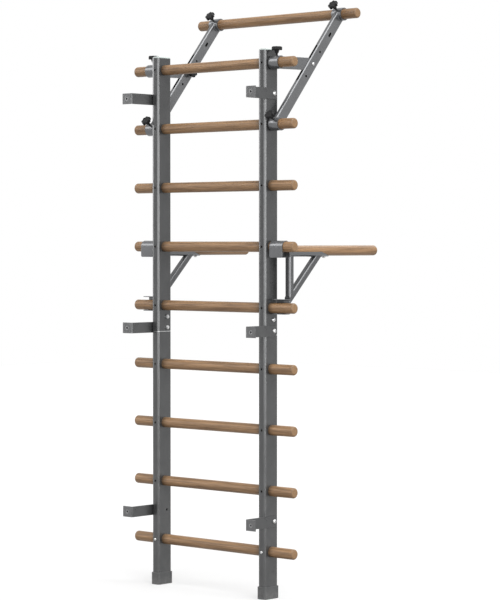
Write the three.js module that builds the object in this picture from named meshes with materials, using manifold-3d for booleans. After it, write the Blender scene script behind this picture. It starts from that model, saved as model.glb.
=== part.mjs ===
// Wall bars: two split steel uprights carrying round wooden rungs, held off the wall by bent brackets,
// with a clamp-on pull-up bar at the top and two hook-on dip handles at waist height.
// Millimetres. X runs along the rungs, Y out of the wall into the room, Z up.
// The origin lies on the floor, in the wall plane, midway between the uprights.

import * as THREE from 'three';
import { mergeVertices } from 'three/addons/utils/BufferGeometryUtils.js';
import Module from 'manifold-3d';

const wasm = await Module();
wasm.setup();

// Clearances
const fitGap = 0.3; // between pieces that seat on each other
const slipGap = 0.5; // round a rung in a clamp, hook or fork
const threadGap = 0.4; // round a screw or stud in its hole

// Rungs
const rungCount = 9;
const rungPitch = 220;
const rungDiameter = 38;
const rungLength = 800;
const rungEndRound = 7;
const lowestRungHeight = 170;
const rungAxisFromWall = 140;

// Uprights, each a lower and an upper tube joined on an inner splice
const uprightSpacing = 540;
const uprightWidth = 35;
const uprightDepth = 70;
const uprightCorner = 8;
const uprightWall = 2;
const uprightAboveRung = 45;
const splitRung = 5; // the rung above the split, counted from the top
const splitGap = 2;
const spliceLength = 150;
const spliceBelowRung = 4; // clear of the rung above it
const spliceWall = 2;

// Caps and feet
const capLip = 1.5;
const capEdge = 1;
const capRise = 5;
const capInset = 10;
const capPlug = 14;
const footWall = 3.5;
const footFloor = 6;
const footHeight = 45;
const footEdge = 1.5;

// Wall brackets
const bracketHeight = 40;
const bracketThickness = 4;
const bracketBend = 6;
const bracketTab = 48;
const bracketTabHole = 9;
const bracketTabHoleInset = 22;
const bracketLead = 20; // past the rung axis, into the room
const topBracketBelowRung = 110; // the topmost rung
const bottomBracketAboveRung = 110; // the lowest rung

// Fasteners
const boltDiameter = 8;
const boltHead = 16;
const smallBoltHead = 13;
const boltHeadRise = 0.38; // of the head's diameter
const boltFromRungAxis = 9;
const boltThread = 14; // past the tube wall, where no nut shows
const nutAcross = 13;
const nutHeight = 7;
const boltProud = 3;
const lowerSpliceBoltAboveSplit = 15;
const spliceBoltPitch = 40;
const rungScrewDiameter = 6;
const rungScrewHead = 11;
const rungScrewHeadTop = 6.6;
const rungScrewHeadHeight = 3;
const rungScrewDepth = 28; // from the back of the rung
const screwAccess = 8.4; // holes in the uprights behind the upper rungs, for deep-set screws

// Pull-up unit
const linkRung = 1; // counted from the top
const armRung = 2; // counted from the top
const sleeveDiameter = 48;
const sleeveLength = 44;
const sleeveStandoff = 3; // from the upright's outer face
const armTilt = THREE.MathUtils.degToRad(39.8); // from upright, towards the room
const armSpan = 542; // from the rung's axis to the pull-up bar's axis
const armWidth = 18;
const armDepth = 44;
const armCorner = 4;
const armWall = 2;
const armHoleDiameter = 8.8;
const armHolePitch = 60;
const armBoltAlong = 292; // from the rung's axis to the link bolt
const armOblongAlong = 438;
const armOblongLength = 20;
const armSlotLength = 176;
const armSlotWidth = 9;
const armSlotDrop = 13; // of the slot's middle, from the link bolt towards the rung
const linkHeight = 45;
const linkThickness = 7.5;
const linkNose = 14;

// Star knobs
const knobDiameter = 40;
const knobHeight = 13;
const knobEdge = 2;
const knobLobes = 7;
const knobLobeDepth = 3.5;
const knobHubWide = 19;
const knobHubNarrow = 12;
const knobHubLength = 11;
const knobStudDiameter = 8;
const knobStudShow = 9;

// Dip handles
const hookRung = 4; // counted from the top
const forkRung = 5; // counted from the top
const dipWidth = 62;
const dipStandoff = 8; // from the upright's outer face
const dipPlate = 3;
const dipPlateBend = 6;
const hookDrop = 39;
const forkRise = 32.5;
const forkBite = 10; // how far the fork reaches past the rung's axis, towards the wall
const forkSpacerHeight = 18; // between the fork and the post
const postSize = 25;
const postCorner = 4;
const postReach = 53; // from the rung axis
const braceAngle = THREE.MathUtils.degToRad(45);
const dipBarDiameter = 38;
const dipBarDrop = 14; // below the rung that carries it
const dipBarEnd = 530; // from the rung axis
const dipBarEndRound = 7;
const troughWall = 3;
const troughRim = 4.5; // below the bar's axis
const troughEnd = 260;
const troughScoop = 55;
const dipBoltPastBrace = 21.3;
const dipBoltDepth = 24;

// Facets
const roundSides = 16;
const boltSides = 8;
const holeSides = 8;
const cornerFacets = 3;
const slotFacets = 2; // and inside the arms and splices
const bendSteps = 1; // per eighth of a turn
const hookSteps = 4; // per quarter of a turn
const endSteps = 2;
const capSteps = 2;
const knobSteps = 4; // per lobe

// Finishes
const frameSteel = new THREE.MeshStandardMaterial({ color: 0x5d5f60, roughness: 0.5, metalness: 0.35 });
const clampSteel = new THREE.MeshStandardMaterial({ color: 0x7c7e80, roughness: 0.4, metalness: 0.5 });
const oiledWood = new THREE.MeshStandardMaterial({ color: 0x9c7650, roughness: 0.55, metalness: 0 });
const zincPlate = new THREE.MeshStandardMaterial({ color: 0xc9ccce, roughness: 0.3, metalness: 0.9 });
const blackNylon = new THREE.MeshStandardMaterial({ color: 0x1d1d1e, roughness: 0.55, metalness: 0 });
const paleCap = new THREE.MeshStandardMaterial({ color: 0xbfc5c2, roughness: 0.6, metalness: 0 });
const greyRubber = new THREE.MeshStandardMaterial({ color: 0x58595a, roughness: 0.8, metalness: 0 });

// Values worked out from the driving dimensions
const rungRadius = rungDiameter / 2;
const uprightX = uprightSpacing / 2;
const uprightOuterFace = uprightX + uprightWidth / 2;
const uprightTop = rungHeight(linkRung) + uprightAboveRung;
const uprightBottom = footFloor + fitGap;
const splitHeight = rungHeight(splitRung) - rungRadius - spliceBelowRung - spliceLength / 2;
const lowerSpliceBoltHeight = splitHeight + lowerSpliceBoltAboveSplit;
const upperSpliceBoltHeight = lowerSpliceBoltHeight + spliceBoltPitch;
const bracketLevels = {
  top: rungHeight(linkRung) - topBracketBelowRung,
  middle: lowerSpliceBoltHeight,
  bottom: lowestRungHeight + bottomBracketAboveRung,
};
const lowerTubeTop = splitHeight - splitGap / 2;
const upperTubeBottom = splitHeight + splitGap / 2;
const sleeveX = uprightOuterFace + sleeveStandoff + sleeveLength / 2;
const sleeveBore = rungRadius + slipGap;
const sleeveRadius = sleeveDiameter / 2;
const dipX = uprightOuterFace + dipStandoff + dipWidth / 2;
const dipPostTop = -dipBarDrop - dipBarDiameter / 2 - fitGap;
const forkLevel = (hookRung - forkRung) * rungPitch;
const braceFoot = forkLevel + forkRise;
const braceAcross = postSize / 2 / Math.cos(braceAngle);
const postFront = postReach + postSize / 2;
const braceTopReach = postFront + (dipPostTop - braceFoot - braceAcross) * Math.tan(braceAngle);
const dipBoltReach = braceTopReach + braceAcross + dipBoltPastBrace;
const boltY = rungAxisFromWall + boltFromRungAxis;
const boltHole = boltDiameter / 2 + threadGap;
const studHole = knobStudDiameter / 2 + threadGap;
const sides = { left: -1, right: 1 };
const half = Math.PI / 2;

function rungHeight(number) {
  return lowestRungHeight + (rungCount - number) * rungPitch;
}

// Solids

function toSolid(geometry) {
  const bare = geometry.clone();
  bare.deleteAttribute('normal');
  bare.deleteAttribute('uv');
  const merged = mergeVertices(bare);
  const corners = merged.index.array;
  const kept = [];
  for (let i = 0; i < corners.length; i += 3) {
    const [a, b, c] = [corners[i], corners[i + 1], corners[i + 2]];
    if (a !== b && b !== c && c !== a) kept.push(a, b, c);
  }
  return new wasm.Manifold(new wasm.Mesh({
    numProp: 3,
    vertProperties: new Float32Array(merged.attributes.position.array),
    triVerts: new Uint32Array(kept),
  }));
}

function toGeometry(solid) {
  const mesh = solid.getMesh();
  const geometry = new THREE.BufferGeometry();
  geometry.setAttribute('position', new THREE.BufferAttribute(new Float32Array(mesh.vertProperties), 3));
  geometry.setIndex(new THREE.BufferAttribute(new Uint32Array(mesh.triVerts), 1));
  geometry.computeVertexNormals();
  return geometry;
}

function join(...solids) {
  return solids.reduce((whole, solid) => whole.add(solid));
}

function cut(solid, ...tools) {
  return tools.reduce((rest, tool) => rest.subtract(tool), solid);
}

// Rods and turned pieces along a chosen axis, centred or starting at the origin

function turned(profile, segments = roundSides) {
  const points = profile.map(([radius, height]) => new THREE.Vector2(radius, height));
  return toSolid(new THREE.LatheGeometry(points, segments).rotateX(half));
}

function rodX(radius, length, segments = roundSides) {
  return toSolid(new THREE.CylinderGeometry(radius, radius, length, segments).rotateZ(half));
}

function rodY(radius, length, segments = roundSides) {
  return toSolid(new THREE.CylinderGeometry(radius, radius, length, segments));
}

function rodZ(radius, length, segments = roundSides) {
  return toSolid(new THREE.CylinderGeometry(radius, radius, length, segments).rotateX(half));
}

function block(x0, x1, y0, y1, z0, z1) {
  const box = new THREE.BoxGeometry(x1 - x0, y1 - y0, z1 - z0);
  return toSolid(box.translate((x0 + x1) / 2, (y0 + y1) / 2, (z0 + z1) / 2));
}

// Rounded rectangular bar along Z, starting at the origin

function roundedPoints(width, depth, corner, facets = cornerFacets) {
  const [x, y] = [width / 2 - corner, depth / 2 - corner];
  const centres = [[x, y], [-x, y], [-x, -y], [x, -y]];
  return centres.flatMap(([across, along], quarter) => {
    const arc = [];
    for (let i = 0; i <= facets; i += 1) {
      const angle = (quarter + i / facets) * half;
      arc.push(new THREE.Vector2(across + corner * Math.cos(angle), along + corner * Math.sin(angle)));
    }
    return arc;
  });
}

function bar(width, depth, corner, length, facets = cornerFacets) {
  const shape = new THREE.Shape(roundedPoints(width, depth, corner, facets));
  return toSolid(new THREE.ExtrudeGeometry(shape, { depth: length, bevelEnabled: false }));
}

function tube(width, depth, corner, wall, length, insideFacets = cornerFacets) {
  const insideCorner = Math.max(corner - wall, wall / 2);
  const inside = bar(width - 2 * wall, depth - 2 * wall, insideCorner, 2 * length, insideFacets);
  return cut(bar(width, depth, corner, length), inside.translate([0, 0, -length / 2]));
}

// Plate cut to a side outline (Y, Z) and spread evenly about X = 0

function sidePlate(shape, width, steps = bendSteps) {
  const options = { depth: width, bevelEnabled: false, curveSegments: steps };
  const geometry = new THREE.ExtrudeGeometry(shape, options).translate(0, 0, -width / 2);
  const turn = new THREE.Matrix4().makeBasis(
    new THREE.Vector3(0, 1, 0),
    new THREE.Vector3(0, 0, 1),
    new THREE.Vector3(1, 0, 0),
  );
  return toSolid(geometry.applyMatrix4(turn));
}

// Loft through rounded rectangles, each [width, depth, corner, height]

function loft(sections) {
  const rings = sections.map(([width, depth, corner, height]) => {
    return roundedPoints(width, depth, corner).map((point) => [point.x, point.y, height]);
  });
  const count = rings[0].length;
  const triangles = [];
  for (let r = 0; r + 1 < rings.length; r += 1) {
    for (let i = 0; i < count; i += 1) {
      const next = (i + 1) % count;
      triangles.push(rings[r][i], rings[r][next], rings[r + 1][next]);
      triangles.push(rings[r][i], rings[r + 1][next], rings[r + 1][i]);
    }
  }
  const [first, last] = [rings[0], rings[rings.length - 1]];
  for (let i = 1; i + 1 < count; i += 1) {
    triangles.push(first[0], first[i + 1], first[i]);
    triangles.push(last[0], last[i], last[i + 1]);
  }
  const geometry = new THREE.BufferGeometry();
  geometry.setAttribute('position', new THREE.Float32BufferAttribute(triangles.flat(), 3));
  return toSolid(geometry);
}

// Round bar with softened ends, along Z from 0 to its length

function roundBar(diameter, length, endRound) {
  const radius = diameter / 2;
  const profile = [[0, 0]];
  for (let i = 0; i <= endSteps; i += 1) {
    const angle = (i / endSteps) * half;
    profile.push([radius - endRound * (1 - Math.sin(angle)), endRound * (1 - Math.cos(angle))]);
  }
  for (let i = endSteps; i >= 0; i -= 1) {
    const angle = (i / endSteps) * half;
    profile.push([radius - endRound * (1 - Math.sin(angle)), length - endRound * (1 - Math.cos(angle))]);
  }
  profile.push([0, length]);
  return turned(profile);
}

// Pieces of the ladder

function rungSolid() {
  const wood = roundBar(rungDiameter, rungLength, rungEndRound).translate([0, 0, -rungLength / 2]);
  return wood.rotate([0, 90, 0]);
}

// The lowest rung takes a screw from the wall side in each upright

function screwedRungSolid() {
  const pilots = Object.values(sides).map((side) => {
    const pilot = rodY(rungScrewDiameter / 2 + threadGap, 2 * rungScrewDepth, holeSides);
    return pilot.translate([side * uprightX, -rungRadius, 0]);
  });
  return cut(rungSolid(), ...pilots);
}

function uprightSolid(bottom, top, boltHeights, openHeights) {
  const shell = tube(uprightWidth, uprightDepth, uprightCorner, uprightWall, top - bottom);
  const holes = [];
  for (let number = 1; number <= rungCount; number += 1) {
    const height = rungHeight(number);
    if (height > bottom && height < top) {
      const radius = number < rungCount ? screwAccess / 2 : rungScrewDiameter / 2 + threadGap;
      const screw = rodY(radius, uprightDepth, holeSides);
      holes.push(rodX(rungRadius + fitGap, 2 * uprightWidth).translate([0, 0, height - bottom]));
      holes.push(screw.translate([0, -uprightDepth / 2, height - bottom]));
    }
  }
  for (const height of openHeights) {
    const through = rodX(boltHole, 2 * uprightWidth, holeSides);
    holes.push(through.translate([0, boltFromRungAxis, height - bottom]));
  }
  for (const height of boltHeights) {
    const outer = rodX(boltHole, uprightWidth, holeSides);
    holes.push(outer.translate([uprightWidth / 2, boltFromRungAxis, height - bottom]));
  }
  return cut(shell, ...holes);
}

function spliceSolid() {
  const inset = uprightWall + fitGap;
  const width = uprightWidth - 2 * inset;
  const depth = uprightDepth - 2 * inset;
  const shell = tube(width, depth, uprightCorner - inset, spliceWall, spliceLength, slotFacets);
  const holes = [upperSpliceBoltHeight, lowerSpliceBoltHeight].map((height) => {
    const hole = rodX(boltHole, 2 * uprightWidth, holeSides);
    return hole.translate([0, boltFromRungAxis, height - splitHeight + spliceLength / 2]);
  });
  return cut(shell, ...holes);
}

function capSolid() {
  const inset = uprightWall + fitGap;
  const plug = [uprightWidth - 2 * inset, uprightDepth - 2 * inset, uprightCorner - inset];
  const sections = [[...plug, -capPlug], [...plug, 0]];
  const dome = [uprightWidth - 2 * capLip, uprightDepth - 2 * capLip, uprightCorner - capLip];
  sections.push([...dome, 0]);
  for (let i = 0; i <= capSteps; i += 1) {
    const angle = (i / capSteps) * half;
    const draw = capInset * (1 - Math.cos(angle));
    const height = capEdge + capRise * Math.sin(angle);
    sections.push([dome[0] - 2 * draw, dome[1] - 2 * draw, dome[2] - draw / 2, height]);
  }
  return loft(sections);
}

function footSolid() {
  const width = uprightWidth + 2 * (footWall + fitGap);
  const depth = uprightDepth + 2 * (footWall + fitGap);
  const corner = uprightCorner + footWall + fitGap;
  const soft = [width - 2 * footEdge, depth - 2 * footEdge, corner - footEdge];
  const boot = loft([
    [...soft, 0],
    [width, depth, corner, footEdge],
    [width, depth, corner, footHeight - footEdge],
    [...soft, footHeight],
  ]);
  const [inWidth, inDepth] = [uprightWidth + 2 * fitGap, uprightDepth + 2 * fitGap];
  const pocket = bar(inWidth, inDepth, uprightCorner + fitGap, footHeight);
  return cut(boot, pocket.translate([0, 0, footFloor]));
}

// Bent flat bar: the arm lies on the upright's outer face and the tab turns outward on the wall.
// Drawn for the right-hand side, from the upright's outer face and the wall plane.

function bracketSolid() {
  const reach = rungAxisFromWall + bracketLead;
  const [wall, bend] = [bracketThickness, bracketBend];
  const insideBend = bend - wall;
  const shape = new THREE.Shape();
  shape.moveTo(0, bend);
  shape.absarc(bend, bend, bend, 2 * half, 3 * half);
  shape.lineTo(bracketTab, 0);
  shape.lineTo(bracketTab, wall);
  shape.lineTo(bend, wall);
  shape.absarc(bend, bend, insideBend, 3 * half, 2 * half, true);
  shape.lineTo(wall, reach);
  shape.lineTo(0, reach);
  const options = { depth: bracketHeight, bevelEnabled: false, curveSegments: bendSteps };
  const flat = toSolid(new THREE.ExtrudeGeometry(shape, options)).translate([0, 0, -bracketHeight / 2]);
  const tabHole = rodY(bracketTabHole / 2, 4 * wall, holeSides);
  const armHole = rodX(boltHole, 4 * wall, holeSides);
  const tabHoleX = bracketTab - bracketTabHoleInset;
  return cut(flat, tabHole.translate([tabHoleX, 0, 0]), armHole.translate([0, boltY, 0]));
}

// Fasteners stand on Z, with the underside of the head at the origin and the shank below it

function boltSolid(shankLength, headDiameter) {
  const [shank, head] = [boltDiameter / 2, headDiameter / 2];
  const profile = [[0, -shankLength], [shank, -shankLength], [shank, 0], [head, 0]];
  for (let i = 1; i <= endSteps; i += 1) {
    const angle = (i / endSteps) * half;
    profile.push([head * Math.cos(angle), headDiameter * boltHeadRise * Math.sin(angle)]);
  }
  return turned(profile, boltSides);
}

function nutSolid() {
  const corner = nutAcross / 2 / Math.cos(Math.PI / 6);
  return cut(rodZ(corner, nutHeight, 6), rodZ(boltHole, 2 * nutHeight, holeSides));
}

function rungScrewSolid() {
  const shank = rungScrewDiameter / 2;
  const head = rungScrewHead / 2;
  const length = uprightDepth / 2 - rungRadius + rungScrewDepth - fitGap;
  const outline = [[0, -length], [shank, -length], [shank, 0], [head, 0]];
  outline.push([rungScrewHeadTop / 2, rungScrewHeadHeight], [0, rungScrewHeadHeight]);
  return turned(outline, boltSides);
}

// Star knob on its stud, along Z: the origin lies on the clamped rung's axis

function knobOutline() {
  const count = knobLobes * knobSteps;
  const points = [];
  for (let i = 0; i < count; i += 1) {
    const angle = (i / count) * 4 * half;
    const wave = (1 - Math.cos(knobLobes * angle)) / 2;
    const radius = knobDiameter / 2 - knobEdge - knobLobeDepth * wave;
    points.push(new THREE.Vector2(radius * Math.cos(angle), radius * Math.sin(angle)));
  }
  return new THREE.Shape(points);
}

function knobHead(bottom) {
  const options = {
    depth: knobHeight - knobEdge,
    bevelSize: knobEdge,
    bevelThickness: knobEdge,
    bevelSegments: 1,
  };
  const star = toSolid(new THREE.ExtrudeGeometry(knobOutline(), options));
  const underEdge = block(-knobDiameter, knobDiameter, -knobDiameter, knobDiameter, -2 * knobEdge, 0);
  return cut(star, underEdge).translate([0, 0, bottom]);
}

function clampKnobSolid() {
  const seat = sleeveRadius + knobStudShow;
  const stud = knobStudDiameter / 2;
  const tip = rungRadius + fitGap;
  const under = seat + knobHubLength;
  const outline = [[0, tip], [stud, tip], [stud, seat], [knobHubNarrow / 2, seat], [knobHubWide / 2, under]];
  outline.push([knobHubWide / 2, under + knobEdge], [0, under + knobEdge]);
  return join(turned(outline, boltSides), knobHead(under));
}

// The link knob is bored for the bolt and seats on the arm's inner face at its origin

function linkKnobSolid() {
  const top = knobHubLength + knobEdge;
  const outline = [[0, fitGap], [knobHubNarrow / 2, fitGap], [knobHubWide / 2, knobHubLength]];
  outline.push([knobHubWide / 2, top], [0, top]);
  const bore = rodZ(boltHole, 2 * linkBoltBite, holeSides);
  return cut(join(turned(outline, boltSides), knobHead(knobHubLength)), bore);
}

// Pull-up unit

const linkBoltBite = knobHubLength + knobHeight / 2; // of the link bolt in its knob

function sleeveSolid() {
  return rodX(sleeveRadius, sleeveLength);
}

function studBore(direction) {
  const reach = sleeveRadius + slipGap;
  const bore = direction === 'up' ? rodZ(studHole, reach, holeSides) : rodY(studHole, reach, holeSides);
  return bore.translate(direction === 'up' ? [0, 0, reach / 2] : [0, -reach / 2, 0]);
}

// Clamp arm along Z, from the rung's axis at the origin to the pull-up bar's axis

function armSolid() {
  const shell = tube(armWidth, armDepth, armCorner, armWall, armSpan, slotFacets);
  const top = [0, 0, armSpan];
  const body = join(shell, sleeveSolid(), sleeveSolid().translate(top));
  const tools = [rodX(sleeveBore, 2 * sleeveLength), rodX(sleeveBore, 2 * sleeveLength).translate(top)];
  tools.push(studBore('back'), studBore('back').translate(top));
  for (const step of [-1, 0, 1]) {
    const hole = rodX(armHoleDiameter / 2, 2 * armWidth, holeSides);
    tools.push(hole.translate([0, 0, armBoltAlong + step * armHolePitch]));
  }
  const oblongCorner = armHoleDiameter / 2 - threadGap / 4;
  const oblong = bar(armHoleDiameter, armOblongLength, oblongCorner, 2 * armWidth, slotFacets);
  tools.push(oblong.translate([0, 0, -armWidth]).rotate([0, 90, 0]).rotate([90, 0, 0])
    .translate([0, 0, armOblongAlong]));
  const slotCorner = armSlotWidth / 2 - threadGap / 4;
  const slot = bar(armSlotWidth, armSlotLength, slotCorner, 2 * armWall + armCorner, slotFacets);
  const slotMiddle = armBoltAlong - armSlotDrop;
  tools.push(slot.rotate([90, 0, 0]).translate([0, -armDepth / 2 + 2 * armWall, slotMiddle]));
  return cut(body, ...tools);
}

// Link along Y from the top rung's axis at the origin to the bolt inside the arm.
// Its nose narrows to turn inside the arm.

function linkReach() {
  const boltOut = armBoltAlong * Math.sin(armTilt);
  const boltUp = armBoltAlong * Math.cos(armTilt) - (armRung - linkRung) * rungPitch;
  return { length: Math.hypot(boltOut, boltUp), slope: Math.atan2(boltUp, boltOut) };
}

function linkSolid() {
  const { length, slope } = linkReach();
  const lean = half - armTilt - slope; // between the link and the arm
  const wide = linkHeight / 2;
  const backFace = armDepth / 2 + fitGap;
  const shape = new THREE.Shape();
  const upperEnd = length + (wide * Math.cos(lean) - backFace) / Math.sin(lean);
  const lowerEnd = length + (-wide * Math.cos(lean) - backFace) / Math.sin(lean);
  shape.moveTo(sleeveBore, -wide);
  shape.lineTo(lowerEnd, -wide);
  shape.lineTo(length, -linkNose);
  shape.absarc(length, 0, linkNose, -half, 0);
  shape.absarc(length, 0, linkNose, 0, half);
  shape.lineTo(upperEnd, wide);
  shape.lineTo(sleeveBore, wide);
  const body = join(sidePlate(shape, linkThickness), sleeveSolid());
  const boltBore = rodX(boltHole, 2 * linkThickness, holeSides).translate([0, length, 0]);
  return cut(body, rodX(sleeveBore, 2 * sleeveLength), boltBore);
}

// Dip handle, drawn about the axis of the rung that it hooks on

function hookOutline() {
  const [inside, outside] = [rungRadius + slipGap, rungRadius + slipGap + dipPlate];
  const shape = new THREE.Shape();
  shape.moveTo(-outside, -hookDrop);
  shape.lineTo(-inside, -hookDrop);
  shape.lineTo(-inside, 0);
  shape.absarc(0, 0, inside, 2 * half, 0, true);
  shape.lineTo(inside, -hookDrop);
  shape.lineTo(outside, -hookDrop);
  shape.lineTo(outside, 0);
  shape.absarc(0, 0, outside, 0, 2 * half);
  return shape;
}

// The fork opens towards the wall

function forkOutline() {
  const [inFront, outFront] = [rungRadius + slipGap, rungRadius + slipGap + dipPlate];
  const [floor, roof] = [-rungRadius - slipGap, forkRise - dipPlate];
  const [tight, wide] = [dipPlateBend - dipPlate, dipPlateBend];
  const shape = new THREE.Shape();
  shape.moveTo(-forkBite, floor - dipPlate);
  shape.lineTo(outFront - wide, floor - dipPlate);
  shape.absarc(outFront - wide, floor - dipPlate + wide, wide, -half, 0);
  shape.lineTo(outFront, forkRise - wide);
  shape.absarc(outFront - wide, forkRise - wide, wide, 0, half);
  shape.lineTo(-forkBite, forkRise);
  shape.lineTo(-forkBite, roof);
  shape.lineTo(inFront - tight, roof);
  shape.absarc(inFront - tight, roof - tight, tight, half, 0, true);
  shape.lineTo(inFront, floor + tight);
  shape.absarc(inFront - tight, floor + tight, tight, 0, -half, true);
  shape.lineTo(-forkBite, floor);
  return shape;
}

// Half-round trough under the bar, cut away in a slope at its free end

function troughSolid(barRadius) {
  const start = rungRadius + slipGap;
  const pipe = rodY(barRadius + troughWall, troughEnd - start);
  const rim = -dipBarDrop - troughRim;
  const aboveRim = block(-dipWidth, dipWidth, 0, 2 * troughEnd, rim, rungDiameter);
  const slope = Math.atan2(barRadius + troughWall / 2 - troughRim, troughScoop);
  const scoop = block(-dipWidth, dipWidth, 0, 2 * troughEnd, 0, troughEnd)
    .rotate([-THREE.MathUtils.radToDeg(slope), 0, 0])
    .translate([0, troughEnd - troughScoop, rim]);
  return cut(pipe.translate([0, (start + troughEnd) / 2, -dipBarDrop]), aboveRim, scoop);
}

// Post and brace: the brace runs through the foot of the post to its wall side, and a spacer
// carries the fork there

function postAndBrace() {
  const back = postReach - postSize / 2;
  const length = dipPostTop - braceFoot;
  const tilt = [-THREE.MathUtils.radToDeg(braceAngle), 0, 0];
  const braceAt = [0, postFront, braceFoot + braceAcross];
  const brace = bar(postSize, postSize, postCorner, 3 * length).translate([0, 0, -length]).rotate(tilt);
  const underBrace = block(-dipWidth, dipWidth, 0, 4 * length, -2 * length, 4 * length).rotate(tilt);
  const room = block(-dipWidth, dipWidth, back, troughEnd, forkLevel, dipPostTop);
  const postLength = length + postSize;
  const postFoot = dipPostTop - postLength;
  const post = bar(postSize, postSize, postCorner, postLength).translate([0, postReach, postFoot]);
  const spacerTop = braceFoot - dipPlate;
  const spacerFrom = rungRadius + slipGap + dipPlate / 2;
  const spacerFoot = spacerTop - forkSpacerHeight;
  const spacer = block(-postSize / 2, postSize / 2, spacerFrom, back + postCorner, spacerFoot, spacerTop);
  return join(cut(post, underBrace.translate(braceAt)), brace.translate(braceAt).intersect(room), spacer);
}

function dipFrameSolid() {
  const barRadius = dipBarDiameter / 2 + fitGap;
  const hookFront = rungRadius + slipGap + dipPlate;
  const hook = sidePlate(hookOutline(), dipWidth, hookSteps);
  const fork = sidePlate(forkOutline(), dipWidth).translate([0, 0, forkLevel]);
  const body = join(hook, fork, troughSolid(barRadius), postAndBrace());
  const barBore = rodY(barRadius, troughEnd).translate([0, hookFront + troughEnd / 2, -dipBarDrop]);
  const boltBore = rodZ(boltHole, 4 * troughWall, holeSides);
  return cut(body, barBore, boltBore.translate([0, dipBoltReach, -dipBarDrop - barRadius - troughWall]));
}

function dipBarSolid() {
  const start = rungRadius + slipGap + dipPlate + fitGap;
  const wood = roundBar(dipBarDiameter, dipBarEnd - start, dipBarEndRound).rotate([-90, 0, 0]);
  const boltBore = rodZ(boltHole, 2 * dipBoltDepth, holeSides);
  return cut(wood.translate([0, start, 0]), boltBore.translate([0, dipBoltReach, -dipBarDiameter / 2]));
}

// Assembly

const wallBars = new THREE.Group();

function place(parent, name, solid, material, position, rotation = [0, 0, 0]) {
  const mesh = new THREE.Mesh(toGeometry(solid), material);
  mesh.name = name;
  mesh.position.set(...position);
  mesh.rotation.set(...rotation);
  parent.add(mesh);
}

function addLadder() {
  const rung = rungSolid();
  for (let number = 1; number <= rungCount; number += 1) {
    const wood = number < rungCount ? rung : screwedRungSolid();
    place(wallBars, `rung_${number}`, wood, oiledWood, [0, rungAxisFromWall, rungHeight(number)]);
  }
  const splitBolts = [upperSpliceBoltHeight, lowerSpliceBoltHeight];
  const upper = uprightSolid(upperTubeBottom, uprightTop, [bracketLevels.top], splitBolts);
  const lower = uprightSolid(uprightBottom, lowerTubeTop, [], [bracketLevels.bottom]);
  for (const [side, sign] of Object.entries(sides)) {
    const turn = sign < 0 ? Math.PI : 0;
    const stand = new THREE.Group();
    stand.position.set(sign * uprightX, rungAxisFromWall, 0);
    wallBars.add(stand);
    const facing = sign < 0 ? mirrored : (solid) => solid;
    place(stand, `upper_upright_${side}`, facing(upper), frameSteel, [0, 0, upperTubeBottom]);
    place(stand, `lower_upright_${side}`, facing(lower), frameSteel, [0, 0, uprightBottom]);
    place(stand, `splice_${side}`, spliceSolid(), zincPlate, [0, 0, splitHeight - spliceLength / 2]);
    place(stand, `top_cap_${side}`, capSolid(), paleCap, [0, 0, uprightTop + fitGap]);
    place(stand, `foot_${side}`, footSolid(), greyRubber, [0, 0, 0], [0, 0, turn]);
    const screwY = -uprightDepth / 2 - fitGap;
    const lowest = [0, screwY, lowestRungHeight];
    place(stand, `rung_screw_${side}`, rungScrewSolid(), zincPlate, lowest, [half, 0, 0]);
  }
}

function mirrored(solid) {
  return solid.mirror([1, 0, 0]);
}

function addBrackets() {
  const bracket = bracketSolid();
  const grip = bracketThickness + 2 * fitGap;
  const throughGrip = grip + uprightWidth + fitGap;
  for (const [side, sign] of Object.entries(sides)) {
    const face = sign * (uprightOuterFace + fitGap);
    const headOut = [0, sign * half, 0];
    for (const [level, height] of Object.entries(bracketLevels)) {
      const flip = sign < 0 ? Math.PI : 0;
      place(wallBars, `wall_bracket_${side}_${level}`, bracket, clampSteel, [face, 0, height], [0, flip, 0]);
      const through = level === 'middle';
      const shank = through ? throughGrip + nutHeight + boltProud : grip + uprightWall + boltThread;
      const headAt = [sign * (uprightOuterFace + grip), boltY, height];
      const bolt = boltSolid(shank, boltHead);
      place(wallBars, `bracket_bolt_${side}_${level}`, bolt, zincPlate, headAt, headOut);
    }
    const upperHead = [sign * (uprightOuterFace + fitGap), boltY, upperSpliceBoltHeight];
    const upperShank = uprightWidth + 2 * fitGap + nutHeight + boltProud;
    place(wallBars, `splice_bolt_${side}`, boltSolid(upperShank, boltHead), zincPlate, upperHead, headOut);
    const nutX = sign * (uprightX - uprightWidth / 2 - fitGap - nutHeight / 2);
    const nuts = { upper: upperSpliceBoltHeight, lower: lowerSpliceBoltHeight };
    for (const [level, height] of Object.entries(nuts)) {
      place(wallBars, `splice_nut_${side}_${level}`, nutSolid(), zincPlate, [nutX, boltY, height], headOut);
    }
  }
}

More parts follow.
